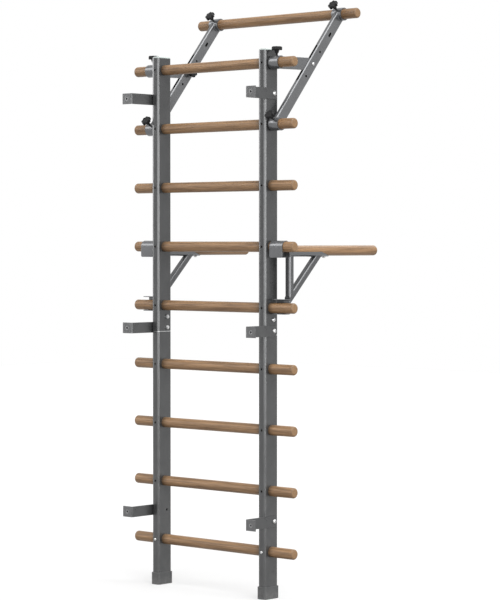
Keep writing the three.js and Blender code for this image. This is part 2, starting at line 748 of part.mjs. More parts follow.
function addPullUpUnit() {
  const barHeight = rungHeight(armRung) + armSpan * Math.cos(armTilt);
  const barOut = rungAxisFromWall + armSpan * Math.sin(armTilt);
  place(wallBars, 'pull_up_bar', rungSolid(), oiledWood, [0, barOut, barHeight]);
  const { slope } = linkReach();
  for (const [side, sign] of Object.entries(sides)) {
    const armGroup = new THREE.Group();
    armGroup.position.set(sign * sleeveX, rungAxisFromWall, rungHeight(armRung));
    armGroup.rotation.x = -armTilt;
    wallBars.add(armGroup);
    place(armGroup, `pull_up_arm_${side}`, armSolid(), clampSteel, [0, 0, 0]);
    place(armGroup, `arm_knob_${side}`, clampKnobSolid(), blackNylon, [0, 0, 0], [half, 0, 0]);
    place(armGroup, `bar_knob_${side}`, clampKnobSolid(), blackNylon, [0, 0, armSpan], [half, 0, 0]);
    const boltShank = armWidth + 2 * fitGap + linkBoltBite - threadGap;
    const headAt = [sign * (armWidth / 2 + fitGap), 0, armBoltAlong];
    const bolt = boltSolid(boltShank, smallBoltHead);
    place(armGroup, `link_bolt_${side}`, bolt, zincPlate, headAt, [0, sign * half, 0]);
    const knobAt = [-sign * armWidth / 2, 0, armBoltAlong];
    place(armGroup, `link_knob_${side}`, linkKnobSolid(), blackNylon, knobAt, [0, -sign * half, 0]);
    const linkGroup = new THREE.Group();
    linkGroup.position.set(sign * sleeveX, rungAxisFromWall, rungHeight(linkRung));
    wallBars.add(linkGroup);
    const link = cut(linkSolid().rotate([THREE.MathUtils.radToDeg(slope), 0, 0]), studBore('up'));
    place(linkGroup, `pull_up_link_${side}`, link, clampSteel, [0, 0, 0]);
    place(linkGroup, `link_sleeve_knob_${side}`, clampKnobSolid(), blackNylon, [0, 0, 0]);
  }
}

function addDipHandles() {
  for (const [side, sign] of Object.entries(sides)) {
    const handle = new THREE.Group();
    handle.position.set(sign * dipX, rungAxisFromWall, rungHeight(hookRung));
    wallBars.add(handle);
    place(handle, `dip_frame_${side}`, dipFrameSolid(), clampSteel, [0, 0, 0]);
    place(handle, `dip_bar_${side}`, dipBarSolid(), oiledWood, [0, 0, -dipBarDrop]);
    const under = -dipBarDrop - dipBarDiameter / 2 - 2 * fitGap - troughWall;
    const shank = troughWall + 2 * fitGap + dipBoltDepth - threadGap;
    const headAt = [0, dipBoltReach, under];
    place(handle, `dip_bolt_${side}`, boltSolid(shank, smallBoltHead), zincPlate, headAt, [Math.PI, 0, 0]);
  }
}

addLadder();
addBrackets();
addPullUpUnit();
addDipHandles();

export default wallBars;
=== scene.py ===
import math

import bmesh
import bpy
from mathutils import Matrix, Vector


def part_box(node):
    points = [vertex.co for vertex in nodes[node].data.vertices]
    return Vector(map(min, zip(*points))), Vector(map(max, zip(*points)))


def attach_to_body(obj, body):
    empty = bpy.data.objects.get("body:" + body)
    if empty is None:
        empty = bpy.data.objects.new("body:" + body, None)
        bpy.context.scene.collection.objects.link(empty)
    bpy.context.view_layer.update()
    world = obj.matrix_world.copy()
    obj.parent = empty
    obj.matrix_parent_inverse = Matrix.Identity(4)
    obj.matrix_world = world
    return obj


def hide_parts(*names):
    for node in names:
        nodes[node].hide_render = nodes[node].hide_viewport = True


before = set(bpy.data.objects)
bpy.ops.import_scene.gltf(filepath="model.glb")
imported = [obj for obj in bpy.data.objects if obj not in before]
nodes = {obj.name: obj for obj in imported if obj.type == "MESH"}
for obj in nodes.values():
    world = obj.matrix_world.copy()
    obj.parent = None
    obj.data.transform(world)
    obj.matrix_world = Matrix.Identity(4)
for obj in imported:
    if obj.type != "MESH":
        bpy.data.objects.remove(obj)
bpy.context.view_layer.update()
scene = bpy.context.scene
mm = 0.001
quarter = math.pi / 2
sides = {"left": -1, "right": 1}
print("frame loaded:", len(nodes), "nodes")


# Shader helpers: a value is set on the socket, a socket is linked to it

def addNode(tree, kind, values=None, **settings):
    node = tree.nodes.new("ShaderNode" + kind)
    for key, value in settings.items():
        setattr(node, key, value)
    for key, value in (values or {}).items():
        feed(tree, node.inputs[key], value)
    return node


def feed(tree, socket, value):
    if isinstance(value, bpy.types.NodeSocket):
        tree.links.new(value, socket)
    else:
        socket.default_value = value


def mathNode(tree, operation, first, second=0.0, clamp=False):
    node = addNode(tree, "Math", operation=operation, use_clamp=clamp)
    feed(tree, node.inputs[0], first)
    feed(tree, node.inputs[1], second)
    return node.outputs[0]


def mapRange(tree, value, fromLow, fromHigh, toLow, toHigh):
    values = {"Value": value, "From Min": fromLow, "From Max": fromHigh, "To Min": toLow, "To Max": toHigh}
    return addNode(tree, "MapRange", values, clamp=True).outputs["Result"]


def mixColour(tree, amount, first, second, blend="MIX"):
    node = addNode(tree, "Mix", data_type="RGBA", blend_type=blend, clamp_factor=True)
    feed(tree, node.inputs["Factor"], amount)
    feed(tree, node.inputs[6], first)
    feed(tree, node.inputs[7], second)
    return node.outputs[2]


def stretched(tree, coordinates, scale):
    node = addNode(tree, "VectorMath", {0: coordinates, 1: scale}, operation="MULTIPLY")
    return node.outputs[0]


def noise(tree, coordinates, scale, detail=3.0, roughness=0.5):
    values = {"Vector": coordinates, "Scale": scale, "Detail": detail, "Roughness": roughness}
    return addNode(tree, "TexNoise", values).outputs[0]


def newGroup(name, inputs, outputs):
    tree = bpy.data.node_groups.new(name, "ShaderNodeTree")
    for label, value in inputs.items():
        socket = tree.interface.new_socket(label, in_out="INPUT", socket_type="NodeSocketFloat")
        socket.default_value = value
    for label in outputs:
        tree.interface.new_socket(label, in_out="OUTPUT", socket_type="NodeSocketFloat")
    return tree, tree.nodes.new("NodeGroupInput"), tree.nodes.new("NodeGroupOutput")


def useGroup(tree, group, values):
    node = tree.nodes.new("ShaderNodeGroup")
    node.node_tree = group
    for key, value in values.items():
        feed(tree, node.inputs[key], value)
    return node.outputs


def newMaterial(name):
    material = bpy.data.materials.new(name)
    material.use_nodes = True
    tree = material.node_tree
    tree.nodes.clear()
    shader = addNode(tree, "BsdfPrincipled")
    output = addNode(tree, "OutputMaterial")
    tree.links.new(shader.outputs[0], output.inputs["Surface"])
    return material, tree, shader


def shaded(colour, percent):
    return [channel * percent / 100 for channel in colour[:3]] + [1.0]


# Grain of a sprayed or moulded skin: fine bumps, and slow patches for colour and gloss

def makeSkinGrain():
    tree, entry, leave = newGroup("skinGrain", {"Pitch": 1.2, "Patch": 60.0}, ["Height", "Patches"])
    place = addNode(tree, "TexCoord").outputs["Object"]
    fineScale = mathNode(tree, "DIVIDE", 1000.0, entry.outputs["Pitch"])
    patchScale = mathNode(tree, "DIVIDE", 1000.0, entry.outputs["Patch"])
    fine = noise(tree, place, fineScale, 2.0, 0.55)
    slow = noise(tree, place, patchScale, 4.0, 0.6)
    tree.links.new(fine, leave.inputs["Height"])
    tree.links.new(slow, leave.inputs["Patches"])
    return tree


# Edges that handling has rubbed: where a rounded normal leaves the true one

def makeEdgeRub():
    tree, entry, leave = newGroup("edgeRub", {"Reach": 0.0012, "Amount": 1.0}, ["Mask"])
    rounded = addNode(tree, "Bevel", {"Radius": entry.outputs["Reach"]}, samples=6).outputs[0]
    plain = addNode(tree, "NewGeometry").outputs["Normal"]
    facing = addNode(tree, "VectorMath", {0: rounded, 1: plain}, operation="DOT_PRODUCT").outputs["Value"]
    turn = mathNode(tree, "SUBTRACT", 1.0, facing)
    broken = noise(tree, addNode(tree, "TexCoord").outputs["Object"], 140.0, 4.0, 0.65)
    ragged = mapRange(tree, broken, 0.35, 0.7, 0.3, 1.0)
    rubbed = mathNode(tree, "MULTIPLY", mapRange(tree, turn, 0.02, 0.16, 0.0, 1.0), ragged)
    amount = mathNode(tree, "MULTIPLY", rubbed, entry.outputs["Amount"], clamp=True)
    tree.links.new(amount, leave.inputs["Mask"])
    return tree


# Floor dust: thins out with height, lies on what faces up

def makeFloorDust():
    tree, entry, leave = newGroup("floorDust", {"Height": 0.25, "Amount": 1.0}, ["Mask"])
    geometry = addNode(tree, "NewGeometry")
    level = addNode(tree, "SeparateXYZ", {0: geometry.outputs["Position"]}).outputs["Z"]
    upward = addNode(tree, "SeparateXYZ", {0: geometry.outputs["Normal"]}).outputs["Z"]
    low = mapRange(tree, mathNode(tree, "DIVIDE", level, entry.outputs["Height"]), 0.0, 1.0, 0.5, 0.0)
    lying = mapRange(tree, upward, 0.55, 1.0, 0.0, 0.7)
    cloud = noise(tree, geometry.outputs["Position"], 38.0, 6.0, 0.7)
    cover = mathNode(tree, "MAXIMUM", low, lying)
    patchy = mathNode(tree, "MULTIPLY", cover, mapRange(tree, cloud, 0.38, 0.68, 0.15, 1.0))
    amount = mathNode(tree, "MULTIPLY", patchy, entry.outputs["Amount"], clamp=True)
    tree.links.new(amount, leave.inputs["Mask"])
    return tree


skinGrain = makeSkinGrain()
edgeRub = makeEdgeRub()
floorDust = makeFloorDust()
dustColour = (0.46, 0.45, 0.43, 1.0)


# Powder coat; a wall face is pressed and scuffed where a bracket meets the wall

def makeCoat(name, look):
    material, tree, shader = newMaterial(name)
    grain = useGroup(tree, skinGrain, {"Pitch": look["peelPitch"], "Patch": look["patch"]})
    rub = useGroup(tree, edgeRub, {"Reach": look["rubReach"], "Amount": look["rubAmount"]})["Mask"]
    dust = useGroup(tree, floorDust, {"Height": look["dustHeight"], "Amount": look["dust"]})["Mask"]
    patches = mapRange(tree, grain["Patches"], 0.3, 0.7, 0.0, 1.0)
    coat = mixColour(tree, patches, shaded(look["colour"], 96), shaded(look["colour"], 104))
    if look["wallScuff"]:
        local = addNode(tree, "TexCoord").outputs["Object"]
        fromWall = addNode(tree, "SeparateXYZ", {0: local}).outputs["Y"]
        onWall = mapRange(tree, fromWall, 0.0001, 0.0004, look["wallScuff"], 0.0)
        speckle = mapRange(tree, noise(tree, local, 520.0, 5.0, 0.7), 0.36, 0.6, 0.35, 1.0)
        coat = mixColour(tree, mathNode(tree, "MULTIPLY", onWall, speckle), coat, look["rubColour"])
        fromHole = addNode(tree, "VectorMath", {0: local, 1: look["hole"]}, operation="DISTANCE").outputs["Value"]
        ring = mapRange(tree, fromHole, 0.0055, 0.0085, 0.85, 0.0)  # left by the screw's washer
        coat = mixColour(tree, mathNode(tree, "MULTIPLY", ring, speckle), coat, look["rubColour"])
    worn = mixColour(tree, rub, coat, look["rubColour"])
    dusty = mixColour(tree, dust, worn, dustColour)
    feed(tree, shader.inputs["Base Color"], dusty)
    gloss = mapRange(tree, grain["Patches"], 0.3, 0.7, look["rough"] - 0.05, look["rough"] + 0.05)
    feed(tree, shader.inputs["Roughness"], mathNode(tree, "ADD", gloss, mathNode(tree, "MULTIPLY", dust, 0.3)))
    bump = addNode(tree, "Bump", {"Strength": look["peel"], "Distance": 0.0003, "Height": grain["Height"]})
    feed(tree, shader.inputs["Normal"], bump.outputs[0])
    shader.inputs["Metallic"].default_value = look["metal"]
    shader.inputs["Specular IOR Level"].default_value = look["shine"]
    return material


frameCoat = makeCoat("frameCoat", {
    "colour": (0.071, 0.072, 0.073), "rough": 0.22, "metal": 0.66, "peelPitch": 1.1, "peel": 0.03, "patch": 70.0,
    "rubReach": 0.0012, "rubAmount": 0.35, "rubColour": (0.26, 0.26, 0.265, 1.0), "wallScuff": 0.0,
    "dust": 0.085, "dustHeight": 1.1, "shine": 0.5,
})
bracketCoat = makeCoat("bracketCoat", {
    "colour": (0.066, 0.067, 0.068), "rough": 0.30, "metal": 0.6, "peelPitch": 1.0, "peel": 0.05, "patch": 50.0,
    "rubReach": 0.001, "rubAmount": 0.4, "rubColour": (0.34, 0.34, 0.345, 1.0), "wallScuff": 0.2, "hole": (0.026, 0.0, 0.0),
    "dust": 0.12, "dustHeight": 0.2, "shine": 0.5,
})
armCoat = makeCoat("armCoat", {
    "colour": (0.124, 0.126, 0.130), "rough": 0.22, "metal": 0.65, "peelPitch": 1.0, "peel": 0.05, "patch": 50.0,
    "rubReach": 0.001, "rubAmount": 0.4, "rubColour": (0.36, 0.36, 0.37, 1.0), "wallScuff": 0.0,
    "dust": 0.1, "dustHeight": 0.2, "shine": 0.5,
})
# a darker copy of the dip frame's coat for post and brace: painted shade
shadedPostCoat = makeCoat("shadedPostCoat", {
    "colour": (0.084, 0.085, 0.088), "rough": 0.23, "metal": 0.65, "peelPitch": 1.0, "peel": 0.03, "patch": 50.0,
    "rubReach": 0.001, "rubAmount": 0.3, "rubColour": (0.3, 0.3, 0.31, 1.0), "wallScuff": 0.0,
    "dust": 0.1, "dustHeight": 0.2, "shine": 0.5,
})
# bare steel inside the tubes, made near black: partly its own colour, partly painted shade in the holes
shadedBareInside = makeCoat("shadedBareInside", {
    "colour": (0.014, 0.0135, 0.013), "rough": 0.6, "metal": 0.2, "peelPitch": 0.8, "peel": 0.3, "patch": 20.0,
    "rubReach": 0.0008, "rubAmount": 0.1, "rubColour": (0.05, 0.05, 0.05, 1.0), "wallScuff": 0.0,
    "dust": 0.0, "dustHeight": 0.2, "shine": 0.1,
})


# Oiled wood: growth rings round a pith beside the bar, fibre streaks along it, pores, darker end grain

woodLook = {
    "light": (0.302, 0.177, 0.086, 1.0), "dark": (0.070, 0.035, 0.0135, 1.0), "pore": (0.046, 0.021, 0.008, 1.0),
    "endLight": (0.235, 0.142, 0.070, 1.0), "endDark": (0.095, 0.052, 0.024, 1.0), "paintedShade": (0.040, 0.026, 0.015, 1.0),
    "ringPitch": 0.0034, "pith": (0.021, 0.012, 0.0), "waver": 0.011, "rough": 0.5,
}
# where the rungs enter the uprights the wood is darkened: painted shade
rungSeatShade = {"middle": 0.4, "inner": 0.2525, "outer": 0.2875, "reachIn": 0.034, "reachOut": 0.024, "depth": 0.85}


def makeWood(name, look, seat=None):
    material, tree, shader = newMaterial(name)
    local = addNode(tree, "TexCoord")
    spot = addNode(tree, "ObjectInfo").outputs["Random"]  # sets each bar's own grain
    apart = stretched(tree, spot, (3.1, 5.7, 7.9))
    here = addNode(tree, "VectorMath", {0: local.outputs["Object"], 1: apart}, operation="ADD").outputs[0]
    slowNoise = addNode(tree, "TexNoise", {"Vector": stretched(tree, here, (9.0, 9.0, 1.7)), "Scale": 1.0, "Detail": 2.0})
    drift = addNode(tree, "VectorMath", {0: slowNoise.outputs["Color"], 1: (0.5, 0.5, 0.5)}, operation="SUBTRACT")
    swing = stretched(tree, drift.outputs[0], (look["waver"], look["waver"], 0.0))
    bent = addNode(tree, "VectorMath", {0: local.outputs["Object"], 1: swing}, operation="ADD").outputs[0]
    fromPith = addNode(tree, "VectorMath", {0: bent, 1: look["pith"]}, operation="SUBTRACT").outputs[0]
    flat = stretched(tree, fromPith, (1.0, 1.0, 0.0))
    reach = addNode(tree, "VectorMath", {0: flat}, operation="LENGTH").outputs["Value"]
    years = mathNode(tree, "FRACT", mathNode(tree, "DIVIDE", reach, look["ringPitch"]))
    lateWood = addNode(tree, "ValToRGB", {"Fac": years})
    ramp = lateWood.color_ramp
    ramp.elements[0].position, ramp.elements[0].color = 0.0, (0.12, 0.12, 0.12, 1)
    ramp.elements[1].position, ramp.elements[1].color = 0.78, (0.85, 0.85, 0.85, 1)
    fallEdge = ramp.elements.new(0.97)
    fallEdge.color = (0.2, 0.2, 0.2, 1)
    fibre = noise(tree, stretched(tree, here, (620.0, 620.0, 9.0)), 1.0, 4.0, 0.6)
    tone = noise(tree, stretched(tree, here, (34.0, 34.0, 2.2)), 1.0, 3.0, 0.55)
    fleck = noise(tree, stretched(tree, here, (165.0, 165.0, 7.0)), 1.0, 3.0, 0.6)
    streak = mathNode(tree, "ADD", mathNode(tree, "MULTIPLY", lateWood.outputs["Color"], 0.3),
                      mathNode(tree, "MULTIPLY", mapRange(tree, fibre, 0.3, 0.72, 0.0, 1.0), 0.26))
    broad = mathNode(tree, "ADD", mathNode(tree, "MULTIPLY", mapRange(tree, tone, 0.3, 0.7, 0.0, 1.0), 0.22),
                     mathNode(tree, "MULTIPLY", mapRange(tree, fleck, 0.36, 0.66, 0.0, 1.0), 0.42))
    depth = mathNode(tree, "ADD", streak, broad, clamp=True)
    grainColour = mixColour(tree, depth, look["light"], look["dark"])
    poreNoise = noise(tree, stretched(tree, here, (1500.0, 1500.0, 55.0)), 1.0, 1.0, 0.5)
    pores = mapRange(tree, poreNoise, 0.68, 0.76, 0.0, 0.75)
    poredColour = mixColour(tree, pores, grainColour, look["pore"])
    along = addNode(tree, "SeparateXYZ", {0: local.outputs["Normal"]}).outputs["Z"]
    facing = mathNode(tree, "ABSOLUTE", along)
    endGrain = mapRange(tree, facing, 0.75, 0.98, 0.0, 0.8)
    # the rounded end edge is darkened toward the shade colour: painted shade
    rounding = mathNode(tree, "MULTIPLY", mapRange(tree, facing, 0.15, 0.5, 0.0, 0.3), mapRange(tree, facing, 0.8, 0.98, 1.0, 0.0))
    endColour = mixColour(tree, lateWood.outputs["Color"], look["endLight"], look["endDark"])
    surface = mixColour(tree, rounding, mixColour(tree, endGrain, poredColour, endColour), look["paintedShade"])
    if seat:  # painted shade where a rung enters the steel
        fromStart = addNode(tree, "SeparateXYZ", {0: local.outputs["Object"]}).outputs["Z"]
        out = mathNode(tree, "ABSOLUTE", mathNode(tree, "SUBTRACT", fromStart, seat["middle"]))
        inside = mapRange(tree, out, seat["inner"] - seat["reachIn"], seat["inner"], 0.0, 1.0)
        outside = mapRange(tree, out, seat["outer"], seat["outer"] + seat["reachOut"], 1.0, 0.0)
        near = mathNode(tree, "MULTIPLY", inside, outside)
        patchy = mathNode(tree, "MULTIPLY", mathNode(tree, "POWER", near, 1.3), mapRange(tree, tone, 0.3, 0.7, 0.8, 1.0))
        surface = mixColour(tree, mathNode(tree, "MULTIPLY", patchy, seat["depth"]), surface, look["paintedShade"])
    feed(tree, shader.inputs["Base Color"], surface)
    rough = mapRange(tree, fibre, 0.3, 0.7, look["rough"] - 0.06, look["rough"] + 0.08)
    feed(tree, shader.inputs["Roughness"], mathNode(tree, "ADD", rough, mathNode(tree, "MULTIPLY", endGrain, 0.25)))
    fibreHeight = mathNode(tree, "SUBTRACT", fibre, mathNode(tree, "MULTIPLY", pores, 0.8))
    bump = addNode(tree, "Bump", {"Strength": 0.28, "Distance": 0.0004, "Height": fibreHeight})
    feed(tree, shader.inputs["Normal"], bump.outputs[0])
    shader.inputs["Specular IOR Level"].default_value = 0.32
    shader.inputs["Coat Weight"].default_value = 0.12
    shader.inputs["Coat Roughness"].default_value = 0.35
    return material


rungWood = makeWood("rungWood", woodLook, rungSeatShade)
barWood = makeWood("barWood", woodLook)


# Bright zinc on bolts, nuts, screws, studs and the splices

zincLook = {"colour": (0.50, 0.51, 0.52), "rough": 0.26, "stain": (0.38, 0.37, 0.35, 1.0)}


def makeZinc(look):
    material, tree, shader = newMaterial("brightZinc")
    grain = useGroup(tree, skinGrain, {"Pitch": 0.35, "Patch": 5.0})
    rub = useGroup(tree, edgeRub, {"Reach": 0.0004, "Amount": 0.6})["Mask"]
    clouds = mapRange(tree, grain["Patches"], 0.35, 0.7, 0.0, 0.8)
    plate = mixColour(tree, clouds, shaded(look["colour"], 100), look["stain"])
    feed(tree, shader.inputs["Base Color"], mixColour(tree, rub, plate, (0.85, 0.85, 0.85, 1)))
    feed(tree, shader.inputs["Roughness"], mapRange(tree, grain["Patches"], 0.3, 0.7, look["rough"], look["rough"] + 0.16))
    bump = addNode(tree, "Bump", {"Strength": 0.12, "Distance": 0.0001, "Height": grain["Height"]})
    feed(tree, shader.inputs["Normal"], bump.outputs[0])
    shader.inputs["Metallic"].default_value = 1.0
    return material


brightZinc = makeZinc(zincLook)


# Moulded plastic and rubber

def makeMoulded(name, look):
    material, tree, shader = newMaterial(name)
    grain = useGroup(tree, skinGrain, {"Pitch": look["pitch"], "Patch": look["patch"]})
    rub = useGroup(tree, edgeRub, {"Reach": 0.0009, "Amount": look["rub"]})["Mask"]
    dust = useGroup(tree, floorDust, {"Height": look["dustHeight"], "Amount": look["dust"]})["Mask"]
    patches = mapRange(tree, grain["Patches"], 0.3, 0.7, 0.0, 1.0)
    skin = mixColour(tree, patches, shaded(look["colour"], 90), shaded(look["colour"], 109))
    rubbed = mixColour(tree, rub, skin, look["rubColour"])
    feed(tree, shader.inputs["Base Color"], mixColour(tree, dust, rubbed, dustColour))
    feed(tree, shader.inputs["Roughness"],
         mapRange(tree, grain["Patches"], 0.3, 0.7, look["rough"] - 0.06, look["rough"] + 0.08))
    bump = addNode(tree, "Bump", {"Strength": look["bump"], "Distance": 0.0003, "Height": grain["Height"]})
    feed(tree, shader.inputs["Normal"], bump.outputs[0])
    shader.inputs["Specular IOR Level"].default_value = look["shine"]
    return material


knobPlastic = makeMoulded("knobPlastic", {
    "colour": (0.009, 0.009, 0.0095), "rough": 0.42, "pitch": 0.5, "patch": 18.0, "bump": 0.3,
    "rub": 0.4, "rubColour": (0.035, 0.035, 0.035, 1.0), "dust": 0.05, "dustHeight": 0.1, "shine": 0.12,
})
capPlastic = makeMoulded("capPlastic", {
    "colour": (0.30, 0.335, 0.325), "rough": 0.5, "pitch": 0.7, "patch": 25.0, "bump": 0.2,
    "rub": 0.3, "rubColour": (0.36, 0.39, 0.38, 1.0), "dust": 0.1, "dustHeight": 0.1, "shine": 0.5,
})
footRubber = makeMoulded("footRubber", {
    "colour": (0.046, 0.047, 0.048), "rough": 0.66, "pitch": 0.9, "patch": 22.0, "bump": 0.4,
    "rub": 0.5, "rubColour": (0.19, 0.19, 0.19, 1.0), "dust": 0.3, "dustHeight": 0.05, "shine": 0.4,
})
blackOxide = makeMoulded("blackOxide", {
    "colour": (0.012, 0.012, 0.0125), "rough": 0.5, "pitch": 0.4, "patch": 6.0, "bump": 0.2,
    "rub": 0.3, "rubColour": (0.04, 0.04, 0.04, 1.0), "dust": 0.0, "dustHeight": 0.1, "shine": 0.15,
})
print("finishes made")


# Mesh tools, all in millimetres; makePiece turns the result into metres

def turned(profile, count=48):
    mesh = bmesh.new()
    rings = []
    for radius, height in profile:
        if radius < 1e-6:
            rings.append([mesh.verts.new((0, 0, height))])
            continue
        ring = []
        for step in range(count):
            angle = 2 * math.pi * step / count
            ring.append(mesh.verts.new((radius * math.cos(angle), radius * math.sin(angle), height)))
        rings.append(ring)
    joinRings(mesh, rings)
    return mesh


def joinRings(mesh, rings, closed=False):
    pairs = list(zip(rings, rings[1:]))
    if closed:
        pairs.append((rings[-1], rings[0]))
    for lower, upper in pairs:
        count = max(len(lower), len(upper))
        for step in range(count if count > 1 else 0):
            after = (step + 1) % count
            corners = [lower[step % len(lower)], lower[after % len(lower)],
                       upper[after % len(upper)], upper[step % len(upper)]]
            unique = list(dict.fromkeys(corners))
            if len(unique) > 2:
                mesh.faces.new(unique)


def prism(outline, low, high):
    mesh = bmesh.new()
    bottom = [mesh.verts.new((x, y, low)) for x, y in outline]
    top = [mesh.verts.new((x, y, high)) for x, y in outline]
    joinRings(mesh, [bottom, top])
    mesh.faces.new(bottom)
    mesh.faces.new(top)
    return mesh


def block(x0, x1, y0, y1, z0, z1):
    return prism([(x0, y0), (x1, y0), (x1, y1), (x0, y1)], z0, z1)


def rod(radius, low, high, count=32):
    return turned([(0, low), (radius, low), (radius, high), (0, high)], count)


def roundedOutline(width, depth, corner, steps, stretch=1.0):
    points = []
    wide = corner * stretch
    for turn, (x, y) in enumerate([(1, 1), (-1, 1), (-1, -1), (1, -1)]):
        for step in range(steps + 1):
            angle = (turn + step / steps) * quarter
            points.append((x * (width / 2 - wide) + wide * math.cos(angle),
                           y * (depth / 2 - corner) + corner * math.sin(angle)))
    return points


def lofted(sections, steps):
    mesh = bmesh.new()
    rings = []
    for width, depth, corner, height in sections:
        rings.append([mesh.verts.new((x, y, height)) for x, y in roundedOutline(width, depth, corner, steps)])
    joinRings(mesh, rings)
    mesh.faces.new(rings[0])
    mesh.faces.new(rings[-1])
    return mesh


def boxTube(width, depth, corner, wall, low, high, steps, stretch=1.0):
    mesh = bmesh.new()
    outer = roundedOutline(width, depth, corner, steps, stretch)
    inner = roundedOutline(width - 2 * wall, depth - 2 * wall, max(corner - wall, wall / 2), steps, stretch)
    rings = []
    for outline, height in ((outer, low), (outer, high), (inner, high), (inner, low)):
        rings.append([mesh.verts.new((x, y, height)) for x, y in outline])
    joinRings(mesh, rings, closed=True)
    return mesh


def arc(centreX, centreY, radius, start, end, steps=8):
    points = []
    for step in range(steps + 1):
        angle = start + (end - start) * step / steps
        points.append((centreX + radius * math.cos(angle), centreY + radius * math.sin(angle)))
    return points


# A bead follows points; its thickness ripples as a weld's does

weldBead = {"radius": 1.7, "ripple": 0.14, "ripplePitch": 2.6, "count": 8}


def bead(points, closed):
    mesh = bmesh.new()
    path = [Vector(point) for point in points]
    rings = []
    travelled = 0.0
    for step, point in enumerate(path):
        before = path[step - 1] if step or closed else point
        after = path[(step + 1) % len(path)] if step + 1 < len(path) or closed else point
        along = (after - before).normalized()
        across = along.cross(Vector((0.31, 0.83, 0.47))).normalized()
        other = along.cross(across)
        travelled += (point - path[step - 1]).length if step else 0.0
        swell = 1 + weldBead["ripple"] * math.sin(2 * math.pi * travelled / weldBead["ripplePitch"])
        radius = weldBead["radius"] * swell
        ring = []
        for corner in range(weldBead["count"]):
            angle = 2 * math.pi * corner / weldBead["count"]
            ring.append(mesh.verts.new(point + radius * (math.cos(angle) * across + math.sin(angle) * other)))
        rings.append(ring)
    joinRings(mesh, rings, closed)
    if not closed:
        mesh.faces.new(rings[0])
        mesh.faces.new(rings[-1])
    return mesh


def spread(points, spacing=0.9):
    fine = []
    for first, second in zip(points, points[1:]):
        start, end = Vector(first), Vector(second)
        count = max(1, math.ceil((end - start).length / spacing))
        fine += [start.lerp(end, step / count) for step in range(count)]
    fine.append(Vector(points[-1]))
    return fine


def moved(mesh, matrix):
    bmesh.ops.transform(mesh, matrix=matrix, verts=mesh.verts)
    return mesh


def merged(*meshes):
    whole = bmesh.new()
    for mesh in meshes:
        scrap = bpy.data.meshes.new("scrap")
        mesh.to_mesh(scrap)
        mesh.free()
        whole.from_mesh(scrap)
        bpy.data.meshes.remove(scrap)
    return whole


def rawObject(name, mesh):
    bmesh.ops.recalc_face_normals(mesh, faces=mesh.faces)
    bmesh.ops.scale(mesh, vec=(mm, mm, mm), verts=mesh.verts)
    data = bpy.data.meshes.new(name)
    mesh.to_mesh(data)
    mesh.free()
    made = bpy.data.objects.new(name, data)
    scene.collection.objects.link(made)
    return made


def settle(piece):
    bpy.context.view_layer.update()
    graph = bpy.context.evaluated_depsgraph_get()
    fresh = bpy.data.meshes.new_from_object(piece.evaluated_get(graph), depsgraph=graph)
    piece.modifiers.clear()
    stale = piece.data
    piece.data = fresh
    bpy.data.meshes.remove(stale)


# Inside of a tube and the rims of its holes get the second finish: bare steel, darkened to near black as painted shade
# in the holes

def lineTube(data, width, depth, corner, wall, stretch=1.0):
    heights = [point.co.z for point in data.vertices]
    low, high = min(heights), max(heights)
    for face in data.polygons:
        across = (abs(face.center.x) / mm - width / 2) / stretch + corner
        along = abs(face.center.y) / mm - depth / 2 + corner
        sunk = corner - math.hypot(max(across, 0), max(along, 0)) - min(max(across, along), 0)
        atEnd = min(face.center.z - low, high - face.center.z) < wall * mm / 2
        face.material_index = int(sunk > wall * 0.2 and not atEnd)


def makePiece(name, mesh, finish, place=Matrix(), cuts=(), keep=None, soften=0.5, smooth=38.0, lining=None):
    piece = rawObject(name, mesh)
    steps = [("DIFFERENCE", shape) for shape in cuts]
    if keep:
        steps.append(("INTERSECT", keep))
    tools = []
    for operation, shape in steps:
        tool = rawObject(name + "Tool", shape)
        tools.append(tool)
        step = piece.modifiers.new(operation, "BOOLEAN")
        step.operation, step.object, step.solver = operation, tool, "EXACT"
    if soften:
        rounding = piece.modifiers.new("soften", "BEVEL")
        rounding.width, rounding.segments = soften * mm, 2
        rounding.limit_method, rounding.angle_limit = "ANGLE", math.radians(34)
    settle(piece)
    for tool in tools:
        stale = tool.data
        bpy.data.objects.remove(tool)
        bpy.data.meshes.remove(stale)
    piece.data.shade_smooth()
    piece.data.set_sharp_from_angle(angle=math.radians(smooth))
    piece.modifiers.new("evenNormals", "WEIGHTED_NORMAL").keep_sharp = True
    settle(piece)
    piece.data.name = name
    piece.data.materials.clear()
    piece.data.materials.append(finish)
    if lining:
        piece.data.materials.append(shadedBareInside)
        lineTube(piece.data, *lining)
    piece.matrix_world = Matrix.LocRotScale(place.to_translation() * mm, place.to_quaternion(), None)
    return piece


def mount(piece, body, slotName, *nodeNames):
    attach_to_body(piece, body)
    if nodeNames:
        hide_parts(*nodeNames)
    return piece


def attach(piece, parent):
    bpy.context.view_layer.update()
    world = piece.matrix_world.copy()
    piece.parent = parent
    piece.matrix_parent_inverse = parent.matrix_world.inverted()
    piece.matrix_world = world
    return piece


def at(x, y, z, turn=0.0, axis="Z"):
    return Matrix.Translation((x, y, z)) @ Matrix.Rotation(turn, 4, axis)


sideways = Matrix(((0, 0, 1, 0), (1, 0, 0, 0), (0, 1, 0, 0), (0, 0, 0, 1)))  # drawn flat, stood up along X
ontoX = Matrix.Rotation(quarter, 4, "Y")


# Where things stand, in millimetres, the same as in the solids

ladder = {"rungs": 9, "pitch": 220.0, "lowest": 170.0, "fromWall": 140.0, "rungRadius": 19.0,
          "uprightX": 270.0, "outerFace": 287.5, "fit": 0.3, "slip": 0.5}


def rungHeight(number):
    return ladder["lowest"] + (ladder["rungs"] - number) * ladder["pitch"]


# Wooden bars

woodBar = {"round": 7.0, "endSteps": 10, "count": 72}


